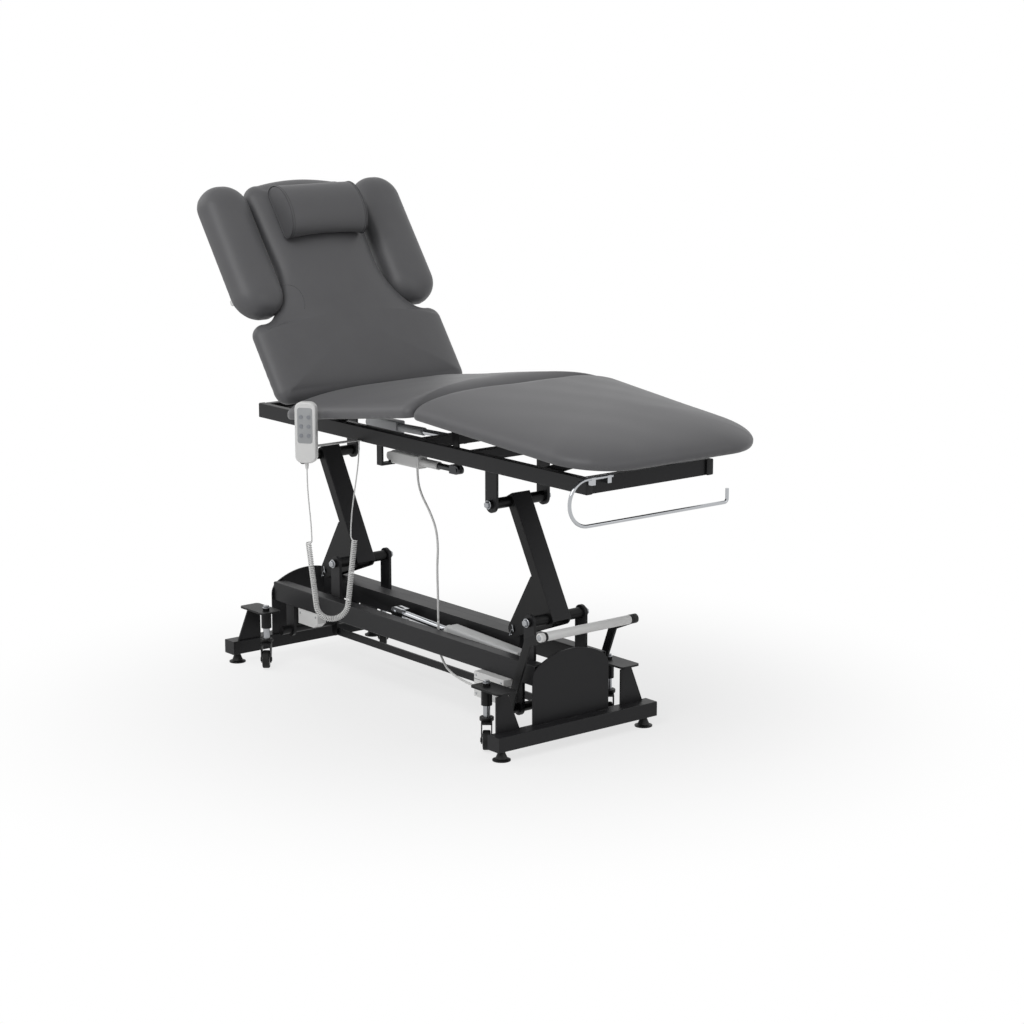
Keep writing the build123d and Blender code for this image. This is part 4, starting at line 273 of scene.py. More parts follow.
# The thread and the piping are the same coated fabric, painted a little darker as the shade in its fold
shaded_fold_fabric = coat("leatherette_painted_fold_shade", "444446", 0.45, 1.5, 0.05, tone=0.04, IOR=1.48)

# %% Which finish each node takes
BUTTONS = 6
FINISHES = {
    "frame_black": powder_coat, "zinc": zinc_plate, "bright": chrome_bar, "white_plastic": white_abs,
    "grey_plastic": grey_abs, "black_plastic": black_nylon, "tread": black_rubber, "cord_sheath": pale_sheath,
    "upholstery": leatherette,
}
slot_of = {row["node"]: row["material_slot"] for row in frame["record"]["subparts"]}
for node, thing in frame["nodes"].items():
    thing.data.materials.clear()
    thing.data.materials.append(FINISHES[slot_of[node]])
for k in range(1, BUTTONS + 1):
    frame["nodes"][f"button_{k}"].data.materials[0] = key_rubber
frame["nodes"]["lift_actuator_housing"].data.materials[0] = pale_abs
# The knee motor's rod is coloured dark as painted shade
frame["nodes"]["knee_motor_rod"].data.materials[0] = rod_painted_shade
# Of the arm pads' solids only the clamp bars are seen, below the covers
for side in ("near", "far"):
    frame["nodes"][f"{side}_arm_pad"].data.materials[0] = zinc_plate
print("nodes dressed", len(frame["nodes"]))


# %% [markdown]
# ## Surfaces from formulas
# Every new piece but the handset's lead, which is a curve, is a grid of points, worked out as one array,
# and turned into a mesh in one call. The grid's rows follow a line, such as a cushion's outline or a cord,
# and its columns go across it, such as from the middle of a cushion's underside to the middle of its top.

# %% Grid to mesh
MERGE = 2e-5  # points closer than this, in metres, become one


def grid_piece(name, grid, body, material, closed=True, crisp=None):
    """A mesh from a grid of points: rows follow a closed or open line, columns go across it. Edges that turn
    by more than the crisp angle, in degrees, stay sharp."""
    rows, columns = grid.shape[:2]
    index = np.arange(rows * columns).reshape(rows, columns)
    if closed:
        index = np.vstack([index, index[:1]])
    quads = np.stack([index[:-1, :-1], index[1:, :-1], index[1:, 1:], index[:-1, 1:]], axis=-1)
    quads = quads.reshape(-1, 4)
    mesh = bpy.data.meshes.new(name)
    mesh.from_pydata(grid.reshape(-1, 3).tolist(), [], quads.tolist())
    shape = bmesh.new()
    shape.from_mesh(mesh)
    bmesh.ops.remove_doubles(shape, verts=shape.verts, dist=MERGE)
    bmesh.ops.holes_fill(shape, edges=[e for e in shape.edges if e.is_boundary], sides=0)
    bmesh.ops.recalc_face_normals(shape, faces=shape.faces)
    shape.to_mesh(mesh)
    shape.free()
    mesh.polygons.foreach_set("use_smooth", np.ones(len(mesh.polygons), bool))
    if crisp:
        mesh.set_sharp_from_angle(angle=math.radians(crisp))
    mesh.materials.append(material)
    piece = bpy.data.objects.new(name, mesh)
    scene.collection.objects.link(piece)
    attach(piece, body)
    return piece


def resampled(points, count):
    """The same closed line as a number of points, evenly spaced by length."""
    loop = np.vstack([points, points[:1]])
    steps = np.linalg.norm(np.diff(loop, axis=0), axis=1)
    along = np.concatenate([[0], np.cumsum(steps)])
    at = np.linspace(0, along[-1], count, endpoint=False)
    return np.stack([np.interp(at, along, loop[:, k]) for k in range(loop.shape[1])], axis=1)


def inwards(points):
    """Unit normals of a closed anticlockwise line, pointing to its inside."""
    along = np.roll(points, -1, axis=0) - np.roll(points, 1, axis=0)
    along /= np.linalg.norm(along, axis=1, keepdims=True)
    return np.stack([-along[:, 1], along[:, 0]], axis=1)


# %% Places of the sections, in millimetres as in the solids' source
HIP = (-205.0, 738.0)
BACK_PIVOT = (-228.0, 768.0)
KNEE_FLAT = (363.0, 742.0)
BOARD_Z = 752.0
SEAT_TILT = 8.1
LEG_SLOPE = 4.9
BACK_TILT = 54.5
HALF_WIDE = 335.0


def turned(points, angle, about):
    """Points turned in the XZ plane about a place; a positive angle lifts the foot end."""
    a = math.radians(angle)
    dx = points[..., 0] - about[0]
    dz = points[..., 2] - about[1]
    out = points.copy()
    out[..., 0] = about[0] + dx * math.cos(a) - dz * math.sin(a)
    out[..., 2] = about[1] + dx * math.sin(a) + dz * math.cos(a)
    return out


def to_row(points):
    """From millimetres about the base's middle to metres in the row frame."""
    return points / 1000.0 + np.array([MIDDLE_X, 0.0, 0.0])


def seat_place(points):
    return to_row(turned(points, SEAT_TILT, HIP))


def leg_place(points):
    knee_flat = np.array([[KNEE_FLAT[0], 0.0, KNEE_FLAT[1]]])
    knee = turned(knee_flat, SEAT_TILT, HIP)[0]
    moved = points + (knee - knee_flat[0])
    return to_row(turned(moved, -LEG_SLOPE, (knee[0], knee[2])))


def back_place(points):
    return to_row(turned(points, -BACK_TILT, BACK_PIVOT))


# %% [markdown]
# ### Cushions
# A cushion is foam on a board, wrapped in leatherette that is pulled tight and stapled below. Seen in
# section it is flat below, tucked in at the board, fullest low down, and from there one slow dome rises to
# the middle: a superellipse, rounder than a circle at the edge and flatter on top. The section is carried
# round the outline, and every line of it runs in to a spine along the middle, where both halves meet exactly.

# %% Outlines, each half and its mirror image
def arcs(points, heading, steps=24):
    """A line of arcs through places, each leaving along the last one's heading: an arc turns by twice the
    angle between its heading and its chord."""
    pieces = []
    for begin, end in zip(points[:-1], points[1:]):
        begin, chord = np.array(begin, float), np.array(end, float) - np.array(begin, float)
        ahead = np.array(heading, float) / np.hypot(*heading)
        side = np.array([-ahead[1], ahead[0]])
        turn = math.atan2(side @ chord, ahead @ chord)
        t = np.linspace(0, 1, steps)[:, None]
        if abs(turn) < 1e-6:
            pieces.append(begin + chord * t)
            continue
        radius = np.linalg.norm(chord) / (2 * math.sin(turn))
        pieces.append(begin + radius * (np.sin(2 * turn * t) * ahead + (1 - np.cos(2 * turn * t)) * side))
        heading = math.cos(2 * turn) * ahead + math.sin(2 * turn) * side
    return np.vstack(pieces)


def whole_ring(half, count):
    """A ring from its half: points evenly spaced from the one end to the other, then their mirror images."""
    steps = np.linalg.norm(np.diff(half, axis=0), axis=1)
    along = np.concatenate([[0], np.cumsum(steps)])
    at = np.linspace(0, along[-1], count)
    even = np.stack([np.interp(at, along, half[:, k]) for k in (0, 1)], axis=1)
    even[[0, -1], 1] = 0.0
    return np.vstack([even, even[1:-1][::-1] * [1.0, -1.0]])


def strip_ring(x0, x1, half, corner0, corner1, count=260, taper=0.0):
    """A rectangle's ring, with a corner radius for its low and for its high end. Its sides may draw in by a
    taper on their way to the high end."""
    high = half - taper
    return whole_ring(np.vstack([
        [[x1, 0.0]], arcs([(x1, high - corner1), (x1 - corner1, high)], (0, 1)),
        arcs([(x0 + corner0, half), (x0, half - corner0)], (-1, 0)), [[x0, 0.0]]]), count)


# %% Cushion surface
POWER = 2.4
BELOW = (0.0, 0.3, 0.6, 0.85)  # the underside's columns, as shares of the way out to the edge
EDGE_ANGLES = np.linspace(-math.pi / 2, 0, 9)[:-1]  # of the columns that roll up to the fullest line
DOME_ANGLES = np.linspace(0, math.pi / 2, 46)  # of the columns from there to the spine
PUCKER_DEEP, PUCKER_APART, PUCKER_FADE = 0.5, 4.3, 61.0  # the staples' puckers along the edge
FOLD_PROUD, FOLD_WIDE, FOLD_LOW = 1.6, 11.0, 3.4  # a corner's fold, ending at pi / FOLD_LOW up the dome


def cushion_grid(ring, spine_x, tall, tuck, full_share=0.18, first=0.0, ridges=(), power=POWER):
    """Carries the section round the ring. From the fullest line the height follows a superellipse: where the
    way in to the spine is 1 - cos(a)^(2/p), the rise is sin(a)^(2/p). The way in first follows the ring's
    normal for a short length, so that narrow shoulders keep their rolled edge. A ridge is a place near the
    ring where the cover's fold stands proud."""
    inner = inwards(ring)
    spine = np.stack([spine_x, np.zeros(len(ring))], axis=1)
    full = tall * full_share
    start_at = ring + inner * first
    second = np.linalg.norm(spine - start_at, axis=1, keepdims=True)
    step = np.linalg.norm(np.diff(ring, axis=0, append=ring[:1]), axis=1)
    along = np.cumsum(step)
    pucker = np.sin(along / PUCKER_APART) * (0.5 + 0.5 * np.sin(along / PUCKER_FADE)) * PUCKER_DEEP
    proud = sum((FOLD_PROUD * np.exp(-(np.linalg.norm(ring - place, axis=1) / FOLD_WIDE) ** 2)
                 for place in ridges), np.zeros(len(ring)))
    columns = []
    for v in BELOW:
        columns.append((spine + (ring + inner * tuck - spine) * v, 0.0))
    for a in EDGE_ANGLES:
        pulled = tuck * (1 - math.cos(a)) + pucker * math.sin(2 * a) ** 2
        columns.append((ring + inner * pulled[:, None], full * (1 + math.sin(a))))
    for a in DOME_ANGLES:
        rise = math.sin(a) ** (2 / power)
        way = (first + second) * (1 - abs(math.cos(a)) ** (2 / power))
        flat = np.where(way < first, ring + inner * way,
                        start_at + (spine - start_at) * (way - first) / np.maximum(second, 1e-6))
        flat = flat - inner * (proud * math.sin(min(FOLD_LOW * a, math.pi)))[:, None]
        if a == DOME_ANGLES[-1]:
            flat = spine
        columns.append((flat, full + (tall - full) * rise))
    plan = np.stack([c[0] for c in columns], axis=1)
    height = np.stack([np.full(len(ring), c[1]) for c in columns], axis=1)
    return np.concatenate([plan, height[..., None]], axis=2)


def softened(grid, amount, length=150.0, seed=0.0):
    """Slow swells of the foam: a sum of sine waves over the plan, strongest on top, in millimetres."""
    x, y, z = grid[..., 0], grid[..., 1], grid[..., 2]
    wave = (np.sin(x / length * 2.1 + seed) * np.cos(y / length * 1.7 + 1.3 * seed)
            + 0.6 * np.sin((x + y) / length * 3.1 + 2 * seed)
            + 0.4 * np.cos((x - 1.6 * y) / length * 4.3 + seed))
    top = np.clip(z / max(z.max(), 1e-6), 0, 1) ** 2
    out = grid.copy()
    out[..., 2] = z + amount * wave * top
    return out


def cushion(name, grid, placed, body, *nodes):
    """The finished cushion on its body, standing for its solid where one is named."""
    piece = grid_piece(name, placed(grid + np.array([0.0, 0.0, BOARD_Z])), body, leatherette)
    if nodes:
        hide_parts(*nodes)


# %% Seat and leg cushions
CUSHION_TALL = 75.0
CUSHION_TUCK, CUSHION_FULL = 6.0, 0.14
SWELL = 0.8
KNEE_GAP = 5.0
SEAT_LONG, LEG_LONG = 568.0, 633.0
HIP_CORNER, KNEE_CORNER, FOOT_CORNER = 60.0, 26.0, 150.0
HIP_SPINE, KNEE_SPINE, FOOT_SPINE = 200.0, 80.0, 310.0  # from a cushion's end to the end of its spine
SEAT_POWER, LEG_POWER = 2.2, 2.1
FOOT_TAPER = 32.0
FOLD_IN = 44.0  # from the foot corner's two sides to its fold
SEAT_X = (KNEE_FLAT[0] - KNEE_GAP / 2 - SEAT_LONG, KNEE_FLAT[0] - KNEE_GAP / 2)
LEG_X = (KNEE_FLAT[0] + KNEE_GAP / 2, KNEE_FLAT[0] + KNEE_GAP / 2 + LEG_LONG)
ring = strip_ring(*SEAT_X, HALF_WIDE, HIP_CORNER, KNEE_CORNER)
spine_x = np.clip(ring[:, 0], SEAT_X[0] + HIP_SPINE, SEAT_X[1] - KNEE_SPINE)
grid = cushion_grid(ring, spine_x, CUSHION_TALL, CUSHION_TUCK, CUSHION_FULL, power=SEAT_POWER)
cushion("seat_upholstery", softened(grid, SWELL, seed=0.4), seat_place, "seat", "seat_cushion")
ring = strip_ring(*LEG_X, HALF_WIDE, KNEE_CORNER, FOOT_CORNER, taper=FOOT_TAPER)
spine_x = np.clip(ring[:, 0], LEG_X[0] + KNEE_SPINE, LEG_X[1] - FOOT_SPINE)
folds = [np.array([LEG_X[1] - FOLD_IN, side * (HALF_WIDE - FOOT_TAPER - FOLD_IN)]) for side in (-1, 1)]
grid = cushion_grid(ring, spine_x, CUSHION_TALL, CUSHION_TUCK, CUSHION_FULL, ridges=folds, power=LEG_POWER)
cushion("leg_upholstery", softened(grid, SWELL, seed=2.1), leg_place, "leg_section", "leg_cushion")
print("seat and leg cushions made")

# %% Back cushion
BACK_TALL = 66.0
BACK_HALF = 308.0
BACK_CORNER, SHOULDER_CORNER = 34.0, 36.0
LOW_ALONG, SHOULDER_ALONG, NECK_ALONG, HEAD_ALONG, CROWN_ALONG = 22.0, 258.0, 430.0, 634.0, 677.0
SHOULDER_LEAN, SHOULDER_INNER = 18.0, 226.0
NECK_WIDE, HEAD_WIDE, CROWN_WIDE = 163.0, 171.0, 124.0  # half widths
CROWN_BULGE = 12.0
CROWN_SPINE, LOW_SPINE = 130.0, 190.0
SPINE_BLEND = 45  # points of the ring, either way, over which the spine's ends are eased
BACK_TUCK, BACK_FIRST, BACK_SWELL = 5.0, 26.0, 0.7
low_x = BACK_PIVOT[0] - LOW_ALONG
shoulder_x = BACK_PIVOT[0] - SHOULDER_ALONG
crown_x = BACK_PIVOT[0] - CROWN_ALONG
t = np.linspace(0, 1, 30)[:, None]
crown_arc = np.hstack([crown_x - CROWN_BULGE * (1 - (1 - t) ** 2), CROWN_WIDE * (1 - t)])
half_back = np.vstack([
    [[low_x, 0.0]],
    arcs([(low_x, BACK_HALF - BACK_CORNER), (low_x - BACK_CORNER, BACK_HALF)], (0, 1)),
    arcs([(shoulder_x + SHOULDER_CORNER, BACK_HALF), (shoulder_x, BACK_HALF - SHOULDER_CORNER),
          (shoulder_x - SHOULDER_LEAN, SHOULDER_INNER), (BACK_PIVOT[0] - NECK_ALONG, NECK_WIDE),
          (BACK_PIVOT[0] - HEAD_ALONG, HEAD_WIDE), (crown_x, CROWN_WIDE)], (-1, 0), 40),
    crown_arc])
ring = whole_ring(half_back, 360)
spine_x = np.clip(ring[:, 0], crown_x + CROWN_SPINE, low_x - LOW_SPINE)
window = np.hanning(2 * SPINE_BLEND + 1)
spine_x = np.convolve(np.concatenate([spine_x[-SPINE_BLEND:], spine_x, spine_x[:SPINE_BLEND]]),
                      window / window.sum(), "valid")
grid = softened(cushion_grid(ring, spine_x, BACK_TALL, BACK_TUCK, first=BACK_FIRST), BACK_SWELL, seed=1.2)
cushion("back_upholstery", grid, back_place, "back", "back_cushion")
back_dome = grid[:, len(BELOW) + len(EDGE_ANGLES):].reshape(-1, 3)
print("back cushion made")

# %% [markdown]
# ### Arm pads and pillow
# The arm pads are long round-ended cushions, plumper than the sections. The pillow is a bolster: a half-round
# roll, a little slimmer in the middle than at its ends, closed by lens-shaped ends with a double seam, and it
# sinks a little over the domed back.

# %% Arm pads
PAD_Y, PAD_ALONG, PAD_LONG = 256.0, 280.0, 396.0  # of the solids
PAST_SOLID, INWARD, DOWN = 2.0, 3.5, 0.6  # how far a cover goes past its solid's ends, and stands off it
PAD_HALF, PAD_CORNER, PAD_SPINE, PAD_TALL = 74.0, 69.0, 71.0, 68.0
PAD_TUCK, PAD_SWELL = 3.0, 0.3
pad_x1 = BACK_PIVOT[0] - PAD_ALONG + PAST_SOLID
pad_x0 = pad_x1 - PAD_LONG - 2 * PAST_SOLID
for name, side in (("near_arm_upholstery", -1), ("far_arm_upholstery", 1)):
    ring = strip_ring(pad_x0, pad_x1, PAD_HALF, PAD_CORNER, PAD_CORNER, 150)
    spine_x = np.clip(ring[:, 0], pad_x0 + PAD_SPINE, pad_x1 - PAD_SPINE)
    grid = softened(cushion_grid(ring, spine_x, PAD_TALL, PAD_TUCK), PAD_SWELL, length=90.0, seed=side)
    grid[..., 1] += side * (PAD_Y - INWARD)
    grid[..., 2] -= DOWN
    cushion(name, grid, back_place, "near_arm_pad" if side < 0 else "far_arm_pad")
print("arm pads made")

# %% Pillow
PILLOW_Z = BOARD_Z + BACK_TALL + 0.3
PILLOW_X = BACK_PIVOT[0] - 558.0
PILLOW_HALF = 123.0
NECK_HALF = 160.0
FOOT_HALF, LIP_HALF, LIP_HIGH, ARC_RISE = 58.0, 78.0, 20.0, 47.0  # of the section
DOME_SHARE = 0.82  # of the back cushion's height: what lies above its fullest line
SINK_SHARE, SINK_FADE = 0.7, 130.0
WAIST = 0.955  # the section's scale half way along
END_BULGE = 5.0


def pillow_section(count=160):
    """A half-round section: flat below, small lips, and one broad arc over the top; closed, in x and z."""
    t = np.linspace(0, math.pi, 60)[1:-1]
    line = np.vstack([[[-FOOT_HALF, 0.0]], arcs([(FOOT_HALF, 0.0), (LIP_HALF, LIP_HIGH)], (1, 0), 12),
                      np.stack([LIP_HALF * np.cos(t), LIP_HIGH + ARC_RISE * np.sin(t)], axis=1),
                      arcs([(-LIP_HALF, LIP_HIGH), (-FOOT_HALF, 0.0)], (0, -1), 12)])
    return resampled(line, count)


def sunk(y):
    """How far the pillow sinks at this distance from the back's spine: a share of the dome's own drop there,
    from the cushion's formula."""
    left = np.clip(1 - abs(y) / NECK_HALF, 1e-3, 1)
    rise = (1 - (1 - left) ** POWER) ** (1 / POWER)
    return SINK_SHARE * (1 - rise) * BACK_TALL * DOME_SHARE


def slimmed(y):
    """The section's scale at a place along the pillow, slimmest half way."""
    return WAIST + (1 - WAIST) * (y / PILLOW_HALF) ** 2


def pillow_ring(y, scale):
    """One ring of the pillow, at a place along it."""
    at = middle + (section - middle) * scale
    drop = sunk(min(abs(y), PILLOW_HALF)) * np.clip(1 - at[:, 1] / SINK_FADE, 0, 1)
    return np.stack([at[:, 0] + PILLOW_X, np.full(len(at), y), at[:, 1] + PILLOW_Z - drop], axis=1)


section = pillow_section()
middle = np.array([0.0, 27.0])
ends = [(PILLOW_HALF + END_BULGE * (1 - v ** 2), v) for v in np.linspace(0, 1, 12)[:-1]]
body_part = [(y, slimmed(y)) for y in np.linspace(-PILLOW_HALF, PILLOW_HALF, 50)]
stations = [(-y, v) for y, v in ends] + body_part + ends[::-1]
grid = np.stack([pillow_ring(y, scale) for y, scale in stations], axis=1)
pillow = grid_piece("pillow_upholstery", back_place(grid), "pillow", leatherette)
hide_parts("pillow")


# %% Seams
ALONG_NO_CORD = np.array([0.31, 0.87, 0.38])  # a direction that no cord or seam takes
PIPING_R, STITCH_R, CREASE_R = 0.0016, 0.0006, 0.0005  # in metres
STITCH_IN = 7.0  # from the pillow's end seam to the row of stitches
SEAM_PROUD = 0.001  # of the section's scale
CREASE = ((-592.0, -173.0), (-560.0, -140.0), (-500.0, -151.0))


def rope(name, line, radius, body, material, closed=True, sides=10):
    """A thin round tube along a line of points: rings square to the line, worked out from two normals that
    are kept as steady as they can be."""
    ahead = np.roll(line, -1, axis=0) - np.roll(line, 1, axis=0) if closed else np.gradient(line, axis=0)
    ahead /= np.linalg.norm(ahead, axis=1, keepdims=True)
    side = np.cross(ahead, ALONG_NO_CORD)
    side /= np.linalg.norm(side, axis=1, keepdims=True)
    up = np.cross(side, ahead)
    a = np.linspace(0, 2 * math.pi, sides, endpoint=False)
    square = np.cos(a)[None, :, None] * side[:, None] + np.sin(a)[None, :, None] * up[:, None]
    rings = line[:, None] + radius * square
    rings = np.concatenate([rings, rings[:, :1]], axis=1)
    return grid_piece(name, rings, body, material, closed=closed)


# The cover's crease beside the near shoulder, lying on the back's face: a thin line in the darker fabric,
# painted shade in the crease
crease_at = arcs(CREASE, (0.2, 1.0), 30)
gap = np.linalg.norm(back_dome[None, :, :2] - crease_at[:, None], axis=2)
crease_up = back_dome[gap.argmin(axis=1), 2]
crease_line = np.column_stack([crease_at, crease_up + BOARD_Z - 0.1])
rope("back_crease", back_place(crease_line), CREASE_R, "back", shaded_fold_fabric, closed=False)

# The pillow's seams are ropes of the darker fabric, whose colour is painted shade in the seam's fold
for name, y, radius in (
        ("near_end", -PILLOW_HALF, PIPING_R), ("near_inner", -PILLOW_HALF + STITCH_IN, STITCH_R),
        ("far_end", PILLOW_HALF, PIPING_R), ("far_inner", PILLOW_HALF - STITCH_IN, STITCH_R)):
    line = pillow_ring(y, slimmed(y) + SEAM_PROUD)
    rope(f"pillow_seam_{name}", back_place(line), radius, "pillow", shaded_fold_fabric)
print("pillow made")

# %% [markdown]
# ### Cords
# The handset's lead is a curly cord: two straight leads and a hanging U of even curls. Its line is the same
# as that of its solid. The knee motor's cable is a plain pale cable that hangs to the base.

# %% Curly cord
COIL_FROM = np.array([-69.0, -345.0, 450.0])
COIL_TO = np.array([-16.0, -236.0, 450.0])
COIL_DROP = 208.0
BEND_R = 42.0
COIL_R = 6.05
CURLS = 96
WIRE_R = 1.7
PER_CURL = 16
LEAD_TURN = 26.0  # how far a lead keeps to the coil's heading
RELIEF_END = np.array([-36.0, -368.0, 652.0])  # the tip of the handset's strain relief
RAIL_HOLE = np.array([-50.0, -193.0, 704.9])
DOWN_SHARES = ((0, 0), (0, 0.2), (0.35, 0.47), (0.8, 0.74), (1, 1))
UP_SHARES = ((0, 0), (0.1, 0.19), (0.35, 0.4), (0.7, 0.62), (0.95, 0.82), (1, 1))
across = COIL_TO - COIL_FROM
span = np.linalg.norm(across)
across = across / span
side_on = np.cross(across, [0.0, 0.0, 1.0])
bend_h, bend_z = span / 2, BEND_R - COIL_DROP
reach = math.hypot(bend_h, bend_z)
straight = math.sqrt(reach ** 2 - BEND_R ** 2)
slant = math.pi / 2 - math.atan2(-bend_z, bend_h) - math.atan2(BEND_R, straight)
round_part = BEND_R * (math.pi - 2 * slant)
coil_long = 2 * straight + round_part


def coil_points(turns):
    """The wire after a number of turns: a place on the hanging U, plus a circle square to the U there."""
    s = coil_long * turns / CURLS
    a = slant + np.clip(s - straight, 0, round_part) / BEND_R
    left = coil_long - s
    first, last = s < straight, s > straight + round_part
    h = np.where(first, s * math.sin(slant),
                 np.where(last, span - left * math.sin(slant), bend_h - BEND_R * np.cos(a)))
    z = np.where(first, -s * math.cos(slant),
                 np.where(last, -left * math.cos(slant), bend_z - BEND_R * np.sin(a)))
    dh = np.where(first | last, math.sin(slant), np.sin(a))
    dz = np.where(first, -math.cos(slant), np.where(last, math.cos(slant), -np.cos(a)))
    angle = 2 * math.pi * turns + math.pi / 2
    n, b = COIL_R * np.cos(angle), COIL_R * np.sin(angle)
    return (COIL_FROM + across * (h - b * dz)[:, None] + np.array([0, 0, 1.0]) * (z + b * dh)[:, None]
            + side_on * n[:, None])


def nurbs(name, points, resolution):
    """The curve of a route: its points are the control points of one NURBS spline of order 3."""
    curve = bpy.data.curves.new(name, "CURVE")
    curve.dimensions = "3D"
    spline = curve.splines.new("NURBS")
    spline.points.add(len(points) - 1)
    spline.points.foreach_set("co", np.concatenate([points, np.ones((len(points), 1))], axis=1).ravel())
    spline.order_u = 3
    spline.use_endpoint_u = True
    curve.resolution_u = resolution
    return curve


def spline_line(points, resolution=8):
    """The line that Blender draws for the route, read as the points of a curve that has no bevel."""
    holder = bpy.data.objects.new("route", nurbs("route", points, resolution))
    scene.collection.objects.link(holder)
    mesh = bpy.data.meshes.new_from_object(holder)
    line = np.empty(len(mesh.vertices) * 3)
    mesh.vertices.foreach_get("co", line)
    bpy.data.objects.remove(holder)
    bpy.data.meshes.remove(mesh)
    return line.reshape(-1, 3)


def length_of(points):
    """The length of a line of points."""
    return float(np.linalg.norm(np.diff(points, axis=0), axis=1).sum())


print("coil length", round(coil_long), "mm")

# %% Handset lead
coil = coil_points(np.arange(CURLS * PER_CURL + 1) / PER_CURL)
near_ends = coil_points(np.array([1 / 256, CURLS - 1 / 256]))
heading_in = (near_ends[0] - coil[0]) / np.linalg.norm(near_ends[0] - coil[0])
heading_out = (coil[-1] - near_ends[1]) / np.linalg.norm(coil[-1] - near_ends[1])
turn_in = coil[0] - heading_in * LEAD_TURN
turn_out = coil[-1] + heading_out * LEAD_TURN


def eased(start_at, end_at, shares):
    """Places between two ends: one share for the drift sideways and another for the drop."""
    return np.array([start_at + (end_at - start_at) * [drift, drift, drop] for drift, drop in shares])


lead_down = eased(RELIEF_END, turn_in, DOWN_SHARES)
lead_up = eased(turn_out, RAIL_HOLE, UP_SHARES)
route = to_row(np.vstack([lead_down, coil, lead_up]))
wire = nurbs("handset_lead", route, 4)
wire.bevel_depth = WIRE_R / 1000
wire.bevel_resolution = 2
wire.use_fill_caps = True
wire.materials.append(pale_sheath)
lead = bpy.data.objects.new("handset_lead", wire)
scene.collection.objects.link(lead)
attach(lead, "top_frame")
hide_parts("handset_cord")
lead_long = length_of(spline_line(route, 4))
print("handset lead", round(lead_long, 3), "m in", CURLS, "curls")

# %% Motor cable
CABLE_R = 0.003  # in metres
upper = np.array([
    (62.0, -88.0, 636.1), (62.0, -88.0, 602.0), (84.0, -92.0, 566.0), (122.0, -95.0, 532.0),
    (150.0, -95.0, 490.0), (155.0, -93.0, 440.0), (144.0, -88.0, 392.0), (137.0, -82.0, 344.0),
    (131.0, -76.0, 296.0), (128.0, -73.2, 262.0), (128.0, -73.2, 236.0)])
lower = np.array([
    (128.0, -73.2, 236.0), (128.0, -73.2, 196.0), (134.0, -75.0, 154.0), (166.0, -82.0, 126.0),
    (208.0, -94.0, 116.0), (262.0, -105.0, 112.0), (314.0, -111.0, 110.0), (364.0, -111.0, 110.0)])
for name, points, node in (("motor_cable_upper", upper, "motor_cable"),
                           ("motor_cable_lower", lower, "box_cable")):
    line = spline_line(to_row(points))
    cable = rope(name, line, CABLE_R, "base", pale_sheath, closed=False, sides=16)
    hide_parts(node)
    if node == "motor_cable":
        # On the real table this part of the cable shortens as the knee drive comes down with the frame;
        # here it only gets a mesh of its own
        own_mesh(cable)
print("motor cable made")

# %% [markdown]
# ## Fittings
# Small hardware that the solids leave out: hexagon bolts with washers, the spring clips of the pins, the
# pedal's sleeve with its end caps, wheel hubs, rail caps, the keypad, the seams and screws of the boxes, and
# weld beads. Each rides on the body that carries it on the real table.

# %% Places of the frame, in millimetres about the base's middle
LEG_SPACING = 836.0
FRONT_LEG_X, LEG_FOOT_Z = 519.0, 311.0
LEG_TOP = (FRONT_LEG_X - 151.9, 587.3)
LEG_SHAFT_END = 96.3
TIE_PIN = (385.0, -33.4, 257.0)
CASTOR_X, CASTOR_Y, CASTOR_TOP = 492.0, 201.0, 170.0
CASTOR_TRAIL, CASTOR_TURN = 20.0, math.radians(39.0)
WHEEL_Z, WHEEL_FACE, COLLAR_Z = 28.0, 10.0, 73.8
PEDAL_BAR = (643.0, 308.0)
RAIL_FOOT_X, RAIL_HEAD_X, RAIL_Y, RAIL_Z = 866.0, -502.0, 193.0, 724.5
BOX_X, BOX_Y, LID_Z = (364.0, 484.0), (-141.0, -95.0), 144.0
JUNCTION_Y = -118.0
PLATE_END_X = 584.0
ALONG_NO_AXIS = [0.3, 0.2, 0.93]  # a direction that no turned piece's axis takes


# %% Turned pieces and bolts
def lathe(name, profile, place, axis, body, material, sides=40, crisp=32.0):
    """A piece turned on an axis: radii and heights, in millimetres, carried round it."""
    profile = np.array(profile, float)
    axis = np.array(axis, float) / np.linalg.norm(axis)
    first = np.cross(axis, ALONG_NO_AXIS)
    first /= np.linalg.norm(first)
    second = np.cross(axis, first)
    turn = np.linspace(0, 2 * math.pi, sides, endpoint=False)
    round_it = np.cos(turn)[:, None] * first + np.sin(turn)[:, None] * second
    grid = round_it[:, None] * profile[None, :, :1] + axis * profile[None, :, 1:] + np.array(place, float)
    return grid_piece(name, to_row(grid), body, material, crisp=crisp)


def bolt(name, place, axis, body, size=10.0):
    """A zinc-plated hexagon bolt on its washer, sized by the radius to its corners."""
    axis = np.array(axis, float)
    lathe(f"{name}_washer", [(0, 0), (size * 1.3, 0), (size * 1.3, size * 0.13), (size * 1.22, size * 0.2),
                             (0, size * 0.2)], place, axis, body, zinc_plate)
    lathe(f"{name}_head", [(0, 0), (size * 0.96, 0), (size, size * 0.06), (size, size * 0.5),
                           (size * 0.86, size * 0.62), (0, size * 0.62)],
          np.array(place) + axis * size * 0.2, axis, body, zinc_plate, sides=6)


